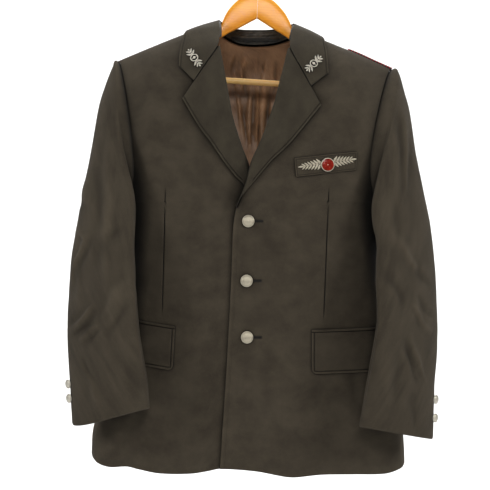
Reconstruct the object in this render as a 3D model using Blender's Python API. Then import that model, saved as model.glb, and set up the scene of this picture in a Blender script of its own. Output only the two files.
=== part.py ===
"""A single-breasted uniform jacket on a wooden hanger, built from the pieces that a maker cuts and sews.

Tables and sizes are in millimetres, and a mesh is scaled to metres when it is made.
X runs across the jacket as it is seen from the front, -Y is the front and +Z is up.
Heights are measured up from the hem. The origin is the top of the hook's inside, so a height h lies at
Z = h - HOOK_HEIGHT.
"""

import math

import bmesh
import bpy
from mathutils import Vector

METRES = 0.001
HOOK_HEIGHT = 883.7

CLOTH = 2.4
LAPEL_CLOTH = 2.5
LINING_CLOTH = 1.2
SEAM_GAP = 0.3
SLEEVE_GAP = 1.6
LAP_FORWARD = 0.45

HEM, ARMPIT = 8.0, 452.0
LEFT, RIGHT = 1, -1

# The body's rings. "left" and "right" are as seen, and the depths are measured from the shoulder line's plane.
BODY_COLUMNS = ("height", "seen_left", "seen_right", "front", "back")
BODY = (
    (-20, -278, 253, 66, 66),
    (70, -275, 249, 68, 66),
    (150, -254, 236, 70, 66),
    (250, -228, 216, 70, 64),
    (350, -216, 206, 71, 64),
    (455, -226, 217, 73, 68),
    (575, -238, 230, 73, 68),
    (700, -240, 238, 70, 66),
    (800, -240, 240, 68, 64),
)
# A ring is a superellipse: 2 is an ellipse, and more is squarer.
RING_POWER = 2.7

# The ridge where front meets back, over the hanger.
SHOULDER_COLUMNS = ("across", "height")
SHOULDER = (
    (-260, 685), (-234, 696), (-179, 719), (-114, 744.5), (-80, 754), (-40, 763), (0, 767), (40, 756), (80, 743),
    (112, 732.5), (146, 719), (175, 707.5), (201, 695.5), (230, 682.5), (260, 668),
)
SHOULDER_DROP = 110.0

# The armhole, as a share of the ring's half width at its top, with how far it dips in at its middle.
ARMHOLE_TOP_SHARE = 0.975
ARMHOLE_DIP = {LEFT: 0.134, RIGHT: 0.115}
ARMHOLE_LOW = 0.45
SHOULDER_POINT = {LEFT: 681.5, RIGHT: 695.0}
SIDE_SEAM_ANGLE = 72.0

# The inner edge of each front: the closing edge, the lapel's roll line from the break, and the neck.
EDGE_COLUMNS = ("height", "across")
EDGE = {
    LEFT: (
        (-10, -61), (74, -56), (150, -51), (254, -45), (333, -41), (412, -38), (445, -33), (459, -28), (470, -23),
        (488, -15.2), (503, -11), (523, -4.4), (553, 9.5), (587, 22.5), (607, 29.8), (657, 43.5), (703, 55), (722, 62),
        (741, 80),
    ),
    RIGHT: (
        (-10, -14), (100, -5), (232, 5), (325, 8), (450, 10), (480, -3), (520, -17), (540, -25), (572, -35.2),
        (609, -44.2), (657, -53), (690, -59), (710, -63), (727, -68), (752, -80),
    ),
}
BREAK = {LEFT: 447.0, RIGHT: 452.0}
GORGE = {LEFT: 706.0, RIGHT: 710.0}
NECK_POINT = {LEFT: (80.0, 741.0), RIGHT: (-80.0, 752.0)}
BACK_NECK_HEIGHT = 728.0

# The hem dips and rises a little along the front.
HEM_COLUMNS = ("across", "height")
HEM_LINE = (
    (-280, 30), (-266, 19), (-245, 14), (-215, 16), (-195, 12), (-160, 6), (-110, 6), (-80, 10), (-58, 14), (0, 10),
    (48, 1), (66, 0), (108, 4), (162, 4), (216, 3), (240, 8), (250, 13), (262, 26),
)

BACK_HEM = 11.0

# Lapel outer edges, from the break up to the point.
LAPEL_EDGE_COLUMNS = ("height", "across")
LAPEL_EDGE = {
    LEFT: ((447, -31.5), (457.5, -27), (467, -21), (488, -4), (512, 16), (524, 26.5), (548, 52), (574, 74), (615, 107)),
    RIGHT: ((452, 2), (484, -20), (500, -36), (526, -56), (556, -76), (574, -90), (600, -106), (626, -121)),
}
# Across a lapel, from inside the roll to the outer edge: past the roll line in mm plus a share of the width,
# and how far above the front, for the outer face and then for the inner one.
ROLL_COLUMNS = ("outer_past", "outer_lift", "inner_past", "inner_lift", "share")
ROLL = (
    (-4.6, -1.4, -2.2, -1.4, 0.0),
    (-5.8, 1.5, -3.4, 1.5, 0.0),
    (-4.1, 4.9, -2.1, 3.0, 0.0),
    (1.0, 6.6, 1.2, 4.1, 0.02),
    (3.0, 6.4, 3.0, 3.9, 0.16),
    (2.0, 5.6, 2.0, 3.1, 0.40),
    (1.0, 4.7, 1.0, 2.3, 0.68),
    (0.0, 3.8, 0.0, 1.4, 1.0),
)
NOTCH_SHARE = 0.66
# Above a height, a lapel's outer edge stands off the front.
LAPEL_RISE, RISE_FROM, RISE_OVER = 3.4, 500.0, 60.0

# Collar stations from each notch to the centre back. The first three start on the gorge seam, at a share of the
# lapel's top. The rest start on the roll line. The outer edge lies on the front, on the shoulder or on the back.
COLLAR_COLUMNS = ("gorge", "roll_x", "roll_y", "roll_h", "edge_x", "edge_h", "facing", "swell")
COLLAR = {
    RIGHT: (
        (NOTCH_SHARE, 0, 0, 0, -126, 679.5, -1, 0.0),
        (0.33, 0, 0, 0, -126, 695, -1, 1.5),
        (0.0, 0, 0, 0, -124, 710, -1, 3.0),
        (None, -60, -44, 735, -121, 723, -1, 5.0),
        (None, -61, -25, 753, -118, 735, -1, 4.5),
        (None, -62, 0, 766, -114, 748.5, 0, 1.6),
        (None, -54, 27, 763, -98, 736, 1, 5.0),
        (None, -31, 46, 757.5, -58, 721, 1, 4.0),
        (None, 0, 53, 757, 0, 712, 1, 3.5),
    ),
    LEFT: (
        (NOTCH_SHARE, 0, 0, 0, 119, 668, -1, 0.0),
        (0.33, 0, 0, 0, 118, 684, -1, 1.5),
        (0.0, 0, 0, 0, 117, 699, -1, 3.0),
        (None, 58, -44, 731, 115, 713, -1, 5.0),
        (None, 62, -25, 749, 113, 725, -1, 4.5),
        (None, 65, 0, 760, 111, 737, 0, 1.6),
        (None, 56, 27, 760, 96, 726, 1, 5.0),
        (None, 32, 46, 757, 58, 714, 1, 4.0),
        (None, 0, 53, 757, 0, 712, 1, 3.5),
    ),
}
COLLAR_CLOTH = 2.4
COLLAR_LIFT = {"gorge": 7.4, "edge": 6.8}
STAND_CLOTH = 1.8

# Sleeve sections from just past the armhole to the cuff. "out" is the outer end of the ring and "in" the inner one,
# "swing" turns the ring's depth outwards, and the two depths are its halves in front and behind.
SLEEVE_COLUMNS = ("out_x", "out_y", "out_h", "in_x", "in_y", "in_h", "front", "back", "swing", "lap")
SLEEVE = {
    RIGHT: (
        (-240.5, 0, 691, -231, -2, 436, 54, 50, -4, 14),
        (-255.5, 0, 654, -233, -6, 418, 58, 48, -6, 28),
        (-267.5, -1, 612, -232, -16, 402, 58, 44, -6, 37),
        (-280, -2, 531, -222, -40, 378, 55, 38, 4, 37),
        (-294, -3, 446, -205, -70, 346, 48, 31, 22, 32),
        (-304, -5, 375, -199, -98, 310, 40, 26, 38, 29),
        (-311, -12, 293, -194, -112, 262, 36, 26, 40, 23),
        (-312, -30, 220, -186, -119, 210, 33, 26, 35, 16),
        (-308, -47, 163, -177, -118, 166, 30, 25, 28, 7),
        (-303, -64, 90, -173, -113, 119, 27, 24, 20, 0),
    ),
    LEFT: (
        (242, 0, 678, 225, -2, 436, 54, 50, -4, 20),
        (253, 0, 642, 227, -6, 414, 58, 48, -6, 33),
        (262, -1, 606, 227, -16, 396, 58, 44, -6, 39),
        (272, -2, 531, 217, -40, 372, 55, 36, 4, 31),
        (284, -3, 455, 205, -70, 342, 48, 31, 22, 29),
        (293, -5, 385, 199, -98, 305, 40, 26, 38, 31),
        (299, -12, 305, 198, -112, 255, 36, 26, 40, 26),
        (300, -30, 222, 187, -119, 196, 33, 26, 35, 16),
        (295, -47, 150, 177, -118, 142, 30, 25, 28, 7),
        (291.5, -64, 64, 167, -113, 90, 27, 24, 20, 0),
    ),
}

# Front buttons: across, height. Cuff buttons: share of the way down the sleeve.
BUTTON_RADIUS = 10.2
BUTTONS = ((-12.7, 424.0), (-15.5, 325.5), (-14.7, 232.2))
CUFF_BUTTON_RADIUS = 7.5
CUFF_BUTTONS = {LEFT: (0.9255, 0.9605), RIGHT: (0.911, 0.943)}
# The seen left cuff's front edge hangs lower in the middle.
CUFF_DIP, CUFF_DIP_FROM = {LEFT: 0.0, RIGHT: 6.0}, 0.8

BUTTON_PROFILE_COLUMNS = ("share_of_radius", "height")
BUTTON_PROFILE = ((1.0, 0.0), (1.0, 1.5), (0.93, 2.0), (0.85, 1.7), (0.6, 3.0), (0.3, 3.8))

# Patches that lie on a front: the upper inner and outer corners, how far they hang, and how far out they stand.
FLAP_COLUMNS = ("inner_x", "inner_h", "outer_x", "outer_h", "lean")
FLAP = {LEFT: (92.0, 245.0, 200.0, 247.5, 0.0), RIGHT: (-134.0, 250.5, -210.0, 261.5, -3.5)}
FLAP_DROP = 68.0
FLAP_LIFT, FLAP_THICKNESS = 0.9, 2.2
JET_HEIGHT, JET_LIFT, JET_THICKNESS = 5.6, 0.9, 1.6
WELT_CORNERS = ((66.0, 496.5), (166.0, 508.5), (167.5, 539.5), (63.0, 528.0))
WELT_LIFT, WELT_THICKNESS = 0.3, 1.8

# Insignia of a plain leaf design: the middle, half the length, half the height, the turn and the thickness.
BADGE = {"across": 117.5, "height": 520.0, "half_length": 49.5, "half_height": 7.2, "turn": 8.5}
BADGE_LIFT, BADGE_THICKNESS = 2.5, 1.8
BOSS_RADIUS, BOSS_BELOW = 11.5, -3.0
SPRAY_LEAVES = 5
PIN_LIFT = 0.9
PIN_LENGTH, PIN_WIDTH, PIN_THICKNESS = 40.0, 13.5, 1.8

# The wooden hanger, in its own frame before it tilts with the jacket.
HANGER_TILT, BAR_TILT = 2.4, 3.8
HANGER_MIDDLE = 3.5
HANGER_PIVOT = (4.0, 800.0)
WOOD_DEPTH = 14.0
ARM_COLUMNS = ("out", "top", "bottom")
ARM = {
    LEFT: (
        (0, 809, 768.7), (14, 806, 760.5), (30, 797, 751), (46, 780.5, 742.5), (54, 768, 737), (60, 756.5, 733.5),
        (70, 746, 728.5), (84, 737.5, 721.5), (117, 724.5, 705), (160, 706, 686), (183, 695.5, 675), (189, 692.5, 650),
        (202, 685.5, 653),
    ),
    RIGHT: (
        (0, 809, 768.7), (14, 807.5, 760.5), (30, 801, 751), (46, 785, 742.5), (54, 771.5, 737), (60, 756.5, 733.5),
        (70, 746, 728.5), (84, 738, 721.5), (117, 724.5, 705), (160, 706, 686), (183, 695.5, 675), (189, 692.5, 650),
        (202, 685.5, 653),
    ),
}
BAR_RADIUS = 5.3
BAR_HEIGHT = 660.5
BAR_REACH = 179.0
WIRE_RADIUS = 2.1
HOOK_RADIUS = 19.0
HOOK_STEM = 809.5

# Where an insignia boss, the cuff buttons and the collar pins sit: round the collar, down its fall, and the turn.
BOSS_PROFILE = ((1.0, 0.0), (1.0, 1.2), (0.85, 1.8), (0.8, 1.5), (0.4, 2.2))
CUFF_BUTTON_TURN = 16.0
PIN_PLACE = {RIGHT: (0.070, 0.44, -57.0), LEFT: (0.934, 0.47, 49.0)}

# The stand, the back lining and the tape loop at the neck.
STAND_FIRST = 3
STAND_INSET, STAND_BELOW_ROLL = 1.6, 3.0
STAND_CENTRE_Y, SHOULDER_SHARE, STAND_END_ABOVE_GORGE = -5.0, 0.6, 14.0
STAND_ABOVE_SEAM, STAND_IN_AT_SEAM = 2.9, 0.9
LINING_INSET, LINING_REACH, LINING_HIGH = 6.4, 0.97, 0.985
LINING_ROWS = 11
LOOP_PLACES = (0.36, 0.64)
LOOP_LOW, LOOP_HIGH, LOOP_RISE = 0.96, 0.74, 0.2
LOOP_CLOTH, LOOP_BOW = 1.2, 2.5

# The braided edging over the end of one shoulder.
BRAID_ENDS = (156.0, 230.0)
BRAID_SPREAD, BRAID_WIDTH, BRAID_DROP, BRAID_THICKNESS = 55.0, 8.5, 0.6, 2.0

# How far the under front and its lapel lie behind the upper front where they cross.
UNDER_SINK, LAPEL_SINK = 4.0, 7.8
SINK_MIDDLE, SINK_REACH = (-2.0, 482.0), (75.0, 120.0)

# How finely the walls are made.
LAPEL_ROWS, COLLAR_PLACES, STAND_PLACES = 11, 32, 20
BODY_ROWS, FRONT_COLUMNS = 20, 9
NECK_COLUMNS, SHOULDER_COLUMNS_BACK = 2, 7
SLEEVE_TURNS, SLEEVE_ROWS = 10, 13
HOOK_PLACES = 30
# A body panel's lower half of rows reaches the armpit. The trims are half a seam's gap as shares of a row.
ARMPIT_ROW = 0.5
FRONT_TRIM, BACK_TRIM, SLEEVE_TRIM = SEAM_GAP / 460, SEAM_GAP / 520, 0.5

# Plain finishes
SERGE = (0.045, 0.038, 0.028)
LINING = (0.11, 0.065, 0.045)
BAND = (0.012, 0.013, 0.012)
SILVER = (0.72, 0.70, 0.64)
ENAMEL = (0.62, 0.03, 0.015)
WOOD = (0.72, 0.42, 0.14)
STEEL = (0.6, 0.6, 0.6)
BRAID = (0.07, 0.012, 0.014)
BAR_WOOD = (0.75, 0.5, 0.25)


def between(low, high, share):
    return low + (high - low) * share


def ease(share):
    share = min(1.0, max(0.0, share))
    return share * share * (3 - 2 * share)


def curve_through(values, at):
    """A smooth curve through evenly spaced values, read at a place from 0 to the last index."""
    last = len(values) - 1
    index = min(max(int(at), 0), last - 1)
    share = at - index
    before = values[index - 1] if index > 0 else values[index] * 2 - values[index + 1]
    after = values[index + 2] if index + 2 <= last else values[last] * 2 - values[index]
    start, end = values[index], values[index + 1]
    slope_in, slope_out = (end - before) * 0.5, (after - start) * 0.5
    return (
        start * (2 * share**3 - 3 * share**2 + 1)
        + slope_in * (share**3 - 2 * share**2 + share)
        + end * (-2 * share**3 + 3 * share**2)
        + slope_out * (share**3 - share**2)
    )


def read(rows, key, column=1):
    """A column of a table between its rows, smoothed, where the first column is the key."""
    keys = [row[0] for row in rows]
    key = min(max(key, keys[0]), keys[-1])
    index = max(i for i, k in enumerate(keys[:-1]) if k <= key)
    span = keys[index + 1] - keys[index]
    share = (key - keys[index]) / span
    start, end = rows[index][column], rows[index + 1][column]

    def slope(i):
        low, high = max(i - 1, 0), min(i + 1, len(rows) - 1)
        return (rows[high][column] - rows[low][column]) / (keys[high] - keys[low])

    return (
        start * (2 * share**3 - 3 * share**2 + 1)
        + slope(index) * span * (share**3 - 2 * share**2 + share)
        + end * (-2 * share**3 + 3 * share**2)
        + slope(index + 1) * span * (share**3 - share**2)
    )


# The body's surface

def ring(height):
    """The middle, the half width and the two depths of the body at a height."""
    left, right, front, back = (read(BODY, height, column) for column in (1, 2, 3, 4))
    return (left + right) / 2, (right - left) / 2, front, back


def depth(across, height, facing):
    """How far the body's outer face stands from the shoulder plane. Facing is -1 in front and 1 behind."""
    middle, half, front, back = ring(height)
    share = min(1.0, abs(across - middle) / half)
    side = (1 - share**RING_POWER) ** (1 / RING_POWER)
    below = (read(SHOULDER, across) - height) / SHOULDER_DROP
    below = min(1.0, max(0.0, below))
    top = math.sqrt(1 - (1 - below) ** 2)
    return (front if facing < 0 else back) * side * top


def body_normal(across, height, facing):
    step = 0.3
    along_x = (depth(across + step, height, facing) - depth(across - step, height, facing)) / (2 * step)
    along_h = (depth(across, height + step, facing) - depth(across, height - step, facing)) / (2 * step)
    return Vector((-along_x, facing, -along_h)).normalized()


def on_body(across, height, facing, lift=0.0):
    """A point on the body's outer face, moved out by the lift."""
    point = Vector((across, facing * depth(across, height, facing), height))
    return point + body_normal(across, height, facing) * lift


def angle_of(across, height):
    """The ring angle in degrees of a place on the front: 0 at the middle and 90 at the side."""
    middle, half, _, _ = ring(height)
    share = min(1.0, abs(across - middle) / half)
    return math.degrees(math.asin(share ** (RING_POWER / 2))) * (1 if across >= middle else -1)


def on_ring(angle, height, lift=0.0):
    """A point at a ring angle. Angles past 90 degrees either way are on the back."""
    middle, half, _, _ = ring(height)
    facing = -1 if abs(angle) <= 90 else 1
    sine = math.sin(math.radians(min(179.99, abs(angle))))
    across = middle + math.copysign(half * abs(sine) ** (2 / RING_POWER), angle)
    return on_body(across, height, facing, lift)


def armhole(side, turn):
    """The armhole seam: the ring angle and the height at a turn from 0 at the shoulder to 180 at the armpit."""
    top = SHOULDER_POINT[side]
    cosine, sine = math.cos(math.radians(turn)), math.sin(math.radians(turn))
    height = between(top, ARMPIT, (1 - cosine) / 2)
    dip = ARMHOLE_DIP[side] * abs(sine) * (1 - ARMHOLE_LOW * cosine)
    share = between(ARMHOLE_TOP_SHARE, 1.0, (1 - cosine) / 2) - dip
    angle = math.degrees(math.asin(share ** (RING_POWER / 2)))
    return angle, height


def front_sink(across, height):
    """How far the under front lies behind the face of the upper one where they overlap."""
    overlap = ease((across + 105) / 40)
    across_share, height_share = (across - SINK_MIDDLE[0]) / SINK_REACH[0], (height - SINK_MIDDLE[1]) / SINK_REACH[1]
    under_lapel = 1 - ease(math.hypot(across_share, height_share))
    return UNDER_SINK * overlap * ease((560 - height) / 60) + LAPEL_SINK * under_lapel


# Walls from grids

def wall(name, columns, rows, place, colour, roughness=0.85, metallic=0.0, limit=None):
    """A closed wall. place(u, v, inner) gives a point of its outer or its inner face."""
    mesh = bpy.data.meshes.new(name)
    shape = bmesh.new()
    bmesh.ops.create_grid(shape, x_segments=columns, y_segments=rows, size=0.5)
    made = bmesh.ops.extrude_face_region(shape, geom=shape.faces[:], use_keep_orig=True)
    inner = {item for item in made["geom"] if isinstance(item, bmesh.types.BMVert)}
    for vert in shape.verts:
        point = place(vert.co.x + 0.5, vert.co.y + 0.5, vert in inner)
        if limit is not None:
            point = limit(point)
        vert.co = (point - Vector((0, 0, HOOK_HEIGHT))) * METRES
    shape.normal_update()
    bmesh.ops.recalc_face_normals(shape, faces=shape.faces)
    finish(name, mesh, shape, colour, roughness, metallic)


def finish(name, mesh, shape, colour, roughness=0.85, metallic=0.0):
    shape.to_mesh(mesh)
    shape.free()
    mesh.shade_smooth()
    mesh.set_sharp_from_angle(angle=math.radians(50))
    made = bpy.data.objects.new(name, mesh)
    bpy.context.scene.collection.objects.link(made)
    material = bpy.data.materials.new(name)
    material.use_nodes = True
    shader = material.node_tree.nodes["Principled BSDF"]
    shader.inputs["Base Color"].default_value = (*colour, 1.0)
    shader.inputs["Roughness"].default_value = roughness
    shader.inputs["Metallic"].default_value = metallic
    mesh.materials.append(material)


def side_angle(height):
    """Where the side seam lies: just in front at the hem, and at the side under the arm."""
    return between(SIDE_SEAM_ANGLE, 90.0, ease(height / ARMPIT))


def front_outline(side, v):
    """The inner and the outer end of a row of a front, each as a ring angle and a height."""
    edge = EDGE[side]
    if v <= ARMPIT_ROW:
        share = v / ARMPIT_ROW
        low_in, low_out = between(HEM, ARMPIT + 8, share), between(HEM, ARMPIT, share)
        return (angle_of(read(edge, low_in), low_in), low_in), (side * side_angle(low_out), low_out)
    turn = 180 * (1 - (v - ARMPIT_ROW) / (1 - ARMPIT_ROW))
    angle, height_out = armhole(side, turn)
    share = (height_out - ARMPIT) / (SHOULDER_POINT[side] - ARMPIT)
    height_in = between(ARMPIT + 8, NECK_POINT[side][1], share)
    return (angle_of(read(edge, height_in), height_in), height_in), (side * angle, height_out)


def hem_shift(across, v, facing):
    """How far a point near the hem is moved to follow the hem's line."""
    level = read(HEM_LINE, across)
    if facing > 0:
        middle, half, _, _ = ring(HEM)
        level = between(BACK_HEM, level, min(1.0, abs(across - middle) / half) ** 8)
    return (level - HEM) * (1 - ease(v / 0.12))


def front_point(side, u, v, inner):
    (angle_in, height_in), (angle_out, height_out) = front_outline(side, v)
    u = between(FRONT_TRIM, 1 - FRONT_TRIM, u)
    angle, height = between(angle_in, angle_out, u), between(height_in, height_out, u)
    across = on_ring(angle, height).x
    if v > ARMPIT_ROW:
        ridge = read(SHOULDER, across)
        straight = between(NECK_POINT[side][1], SHOULDER_POINT[side], u)
        height += (ridge - straight) * ease((v - 0.7) / 0.3)
    height = height + hem_shift(across, v, -1)
    sink = front_sink(across, height) if side == RIGHT else 0.0
    return on_body(across, height, -1, -sink - (CLOTH if inner else 0.0))


def make_front(side, name):
    def limit(point):
        if point.z > ARMPIT:
            point.y = min(point.y, -SEAM_GAP)
        return point

    def place(u, v, inner):
        return front_point(side, u, v, inner)

    wall(name, FRONT_COLUMNS, BODY_ROWS, place, SERGE, limit=limit)


def back_point(side, u, v, inner, inset=0.0):
    """A point of a back half: u runs from the centre back to the side seam or the armhole."""
    neck_share = NECK_COLUMNS / (NECK_COLUMNS + SHOULDER_COLUMNS_BACK)
    if v <= ARMPIT_ROW:
        share = v / ARMPIT_ROW
        height_in, height_out = between(HEM, ARMPIT, share), between(HEM, ARMPIT, share)
        angle_out = 180 - side_angle(height_out)
    else:
        turn = 180 * (1 - (v - ARMPIT_ROW) / (1 - ARMPIT_ROW))
        angle_out, height_out = armhole(side, turn)
        share = (height_out - ARMPIT) / (SHOULDER_POINT[side] - ARMPIT)
        height_in = between(ARMPIT, BACK_NECK_HEIGHT, share)
    reach = between(0, 1 - BACK_TRIM, u)
    neck_across, neck_height = NECK_POINT[side]
    angle_neck = abs(angle_of(neck_across, between(height_in, height_out, 0.3)))
    angle_neck = min(angle_neck, angle_out * 0.5)
    if reach <= neck_share:
        angle = between(0, angle_neck, reach / neck_share)
    else:
        angle = between(angle_neck, angle_out, (reach - neck_share) / (1 - neck_share))
    height = between(height_in, height_out, reach)
    facing = 1 if angle <= 90 else -1
    middle, half, _, _ = ring(height)
    sine = math.sin(math.radians(angle))
    across = middle + side * half * abs(sine) ** (2 / RING_POWER)
    if v > ARMPIT_ROW:
        if reach < neck_share:
            top = between(BACK_NECK_HEIGHT, neck_height, ease(reach / neck_share) ** 1.3)
        else:
            top = read(SHOULDER, across)
        straight = between(BACK_NECK_HEIGHT, SHOULDER_POINT[side], reach)
        height += (top - straight) * ease((v - 0.7) / 0.3)
    height = height + hem_shift(across, v, facing)
    return on_body(across, height, facing, -inset - (CLOTH if inner else 0.0))


def make_back(side, name):
    def limit(point):
        middle = ring(point.z)[0]
        if side == LEFT:
            point.x = max(point.x, middle + SEAM_GAP / 2)
        else:
            point.x = min(point.x, middle - SEAM_GAP / 2)
        if point.z > ARMPIT:
            point.y = max(point.y, SEAM_GAP)
        return point

    def place(u, v, inner):
        return back_point(side, u, v, inner)

    wall(name, NECK_COLUMNS + SHOULDER_COLUMNS_BACK, BODY_ROWS, place, SERGE, limit=limit)


def sleeve_ring(side, row, turn):
    """A point of a sleeve section: turn 0 is the outer end, 90 the front, 180 the inner end and 270 the back."""
    out_x, out_y, out_h, in_x, in_y, in_h, front, back, swing, lap = row
    outer, inner = Vector((out_x, out_y, out_h)), Vector((in_x, in_y, in_h))
    cosine, sine = math.cos(math.radians(turn)), math.sin(math.radians(turn))
    swing = math.radians(swing)
    forward = Vector((side * math.sin(swing), -math.cos(swing), 0))
    point = (outer + inner) / 2 + (outer - inner) / 2 * cosine + forward * (front if sine > 0 else back) * sine
    # The front fold laps over the side of the body.
    lap *= max(0.0, sine) * (1 - cosine) / 1.3
    point.x -= side * lap
    point.y -= LAP_FORWARD * lap
    return point


def sleeve_point(side, turn, along):
    """A point of the sleeve's outer face. Along runs from 0 at the armhole to 1 at the cuff."""
    turn = turn % 360
    angle, height = armhole(side, turn if turn <= 180 else 360 - turn)
    seam = on_ring(side * (angle if turn <= 180 else 180 - angle), height, SLEEVE_GAP)
    seam.x += side * SLEEVE_GAP
    seam.z -= SLEEVE_GAP * (1 - math.cos(math.radians(turn))) / 2
    points = [seam] + [sleeve_ring(side, row, turn) for row in SLEEVE[side]]
    point = curve_through(points, along * (len(points) - 1))
    sine, cosine = math.sin(math.radians(turn)), math.cos(math.radians(turn))
    dip = CUFF_DIP[side] * ease((along - CUFF_DIP_FROM) / (1 - CUFF_DIP_FROM))
    point.z -= dip * max(0.0, sine) * (1 + cosine) / 1.3
    return point


def sleeve_wall_point(side, turn, along, inner):
    point = sleeve_point(side, turn, along)
    step = 0.004
    around = sleeve_point(side, turn + 1, along) - sleeve_point(side, turn - 1, along)
    down = sleeve_point(side, turn, min(1, along + step)) - sleeve_point(side, turn, max(0, along - step))
    normal = around.cross(down).normalized() * side
    return point - normal * (CLOTH if inner else 0.0)


def make_sleeve_half(side, first, last, name):
    def place(u, v, inner):
        turn = between(first + SLEEVE_TRIM, last - SLEEVE_TRIM, u)
        return sleeve_wall_point(side, turn, 1 - v, inner)

    wall(name, SLEEVE_TURNS, SLEEVE_ROWS, place, SERGE)


def front_face(side, across, height, lift=0.0):
    """A point moved out from a finished front's outer face."""
    sink = front_sink(across, height) if side == RIGHT else 0.0
    return on_body(across, height, -1, lift - sink)


def lapel_row(side, u):
    """The two ends of a line across a lapel, in across and height: on the roll line and on the outer edge."""
    edge, outline = EDGE[side], LAPEL_EDGE[side]
    roll_height = between(BREAK[side], GORGE[side], u)
    edge_height = between(outline[0][0], outline[-1][0], u)
    return Vector((read(edge, roll_height), roll_height)), Vector((read(outline, edge_height), edge_height))


def lapel_point(side, u, v, inner):
    row = ROLL[round(v * (len(ROLL) - 1))]
    past, lift = (row[2], row[3]) if inner else (row[0], row[1])
    roll, edge = lapel_row(side, u)
    width = (edge - roll).length
    spot = roll + (edge - roll) / width * (past * min(1.0, width / 14) + width * row[4])
    lift += LAPEL_RISE * row[4] * ease((spot.y - RISE_FROM) / RISE_OVER)
    return front_face(side, spot.x, spot.y, lift)


def make_lapel(side, name):
    wall(name, LAPEL_ROWS, len(ROLL) - 1, lambda u, v, inner: lapel_point(side, u, v, inner), SERGE)


def collar_station(side, row):
    """A collar station's two ends: on the gorge seam or the roll line, and on the outer edge."""
    gorge, roll_x, roll_y, roll_h, edge_x, edge_h, facing, _ = row
    if gorge is None:
        roll = Vector((roll_x, roll_y, roll_h))
    else:
        start, end = lapel_row(side, 1.0)
        line = end - start
        beyond = Vector((-line.y, line.x)).normalized()
        beyond *= math.copysign(1, beyond.y)
        spot = start + line * gorge + beyond * (SEAM_GAP + 0.9)
        roll = front_face(side, spot.x, spot.y, COLLAR_LIFT["gorge"])
    if facing == 0:
        edge = Vector((edge_x, 0, edge_h))
    else:
        edge = on_body(edge_x, edge_h, facing, COLLAR_LIFT["edge"])
    return roll, edge


def collar_stations():
    rows = [(RIGHT, row) for row in COLLAR[RIGHT]] + [(LEFT, row) for row in reversed(COLLAR[LEFT][:-1])]
    ends = [collar_station(side, row) for side, row in rows]
    return [roll for roll, _ in ends], [edge for _, edge in ends], [row[7] for _, row in rows]


def collar_point(stations, u, v, inner):
    """A point of the fall, from the roll line or the gorge down to the outer edge."""
    rolls, edges, swells = stations
    last = len(rolls) - 1
    roll, edge, swell = (curve_through(values, u * last) for values in (rolls, edges, swells))
    step = 0.05
    along = curve_through(rolls, min(last, u * last + step)) - curve_through(rolls, max(0, u * last - step))
    along += curve_through(edges, min(last, u * last + step)) - curve_through(edges, max(0, u * last - step))
    out = along.cross(edge - roll).normalized()
    bulge = math.sin(math.pi * min(1.0, v * 0.9 + 0.06)) * swell
    return roll.lerp(edge, v) + out * (bulge - (COLLAR_CLOTH if inner else 0.0))


def make_collar():
    stations = collar_stations()
    wall("collar", COLLAR_PLACES, 4, lambda u, v, inner: collar_point(stations, u, v, inner), SERGE)


def neck_edge(side, share):
    """The panels' neck edge: share 0 is the centre back, SHOULDER_SHARE the shoulder, and 1 above the gorge."""
    if share <= SHOULDER_SHARE:
        reach = NECK_COLUMNS / (NECK_COLUMNS + SHOULDER_COLUMNS_BACK) * share / SHOULDER_SHARE
        return back_point(side, reach, 1.0, False)
    down = (share - SHOULDER_SHARE) / (1 - SHOULDER_SHARE)
    height = between(NECK_POINT[side][1], GORGE[side] + STAND_END_ABOVE_GORGE, down)
    return on_body(read(EDGE[side], height), height, -1)


def stand_point(stations, u, v, inner):
    """A point of the stand, from just under the roll line down to the neck seam. Its inner face is towards the neck."""
    rolls = stations[0][STAND_FIRST:-STAND_FIRST]
    last = len(rolls) - 1
    roll = curve_through(rolls, u * last)
    inwards = (Vector((0, STAND_CENTRE_Y, roll.z)) - roll).normalized()
    top = roll + inwards * STAND_INSET + Vector((0, 0, -STAND_BELOW_ROLL))
    bottom = neck_edge(RIGHT if u < 0.5 else LEFT, abs(u - 0.5) * 2) + Vector((0, 0, STAND_ABOVE_SEAM))
    bottom += inwards * STAND_IN_AT_SEAM
    return top.lerp(bottom, v) + inwards * (STAND_CLOTH if inner else 0.0)


def make_stand():
    stations = collar_stations()
    wall("collar_stand", STAND_PLACES, 2, lambda u, v, inner: stand_point(stations, u, v, inner), BAND)


def lining_point(u, v, inner):
    """The back lining: u runs from the seen left to the seen right."""
    side, reach = (RIGHT, 1 - 2 * u) if u < 0.5 else (LEFT, 2 * u - 1)
    v = between(1 - LINING_ROWS / BODY_ROWS, 1, v)
    inset = LINING_INSET + (LINING_CLOTH if inner else 0.0)
    return back_point(side, min(reach, LINING_REACH), min(v, LINING_HIGH), False, inset)


def make_lining():
    def limit(point):
        if point.z > ARMPIT:
            point.y = max(point.y, SEAM_GAP)
        return point

    columns = 2 * (NECK_COLUMNS + SHOULDER_COLUMNS_BACK)
    wall("back_lining", columns, LINING_ROWS, lining_point, LINING, 0.4, limit=limit)


def patch(name, corners, lift, thickness, columns, rows, colour, side=LEFT, round_lower=0.0):
    """A piece that lies on a front. Its corners run along the lower edge and back along the upper one."""
    low_in, low_out, high_out, high_in = (Vector(corner) for corner in corners)

    def place(u, v, inner):
        spot = low_in.lerp(low_out, u).lerp(high_in.lerp(high_out, u), v)
        # The lower corner near the front edge is rounded.
        if round_lower and v < 0.5:
            width = (low_out - low_in).length
            gap = max(0.0, 1 - u * width / round_lower)
            spot += (high_in - low_in).normalized() * round_lower * (1 - math.sqrt(1 - gap * gap)) * (1 - v / 0.5)
        return front_face(side, spot.x, spot.y, lift + (0.0 if inner else thickness))

    wall(name, columns, rows, place, colour)


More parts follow.
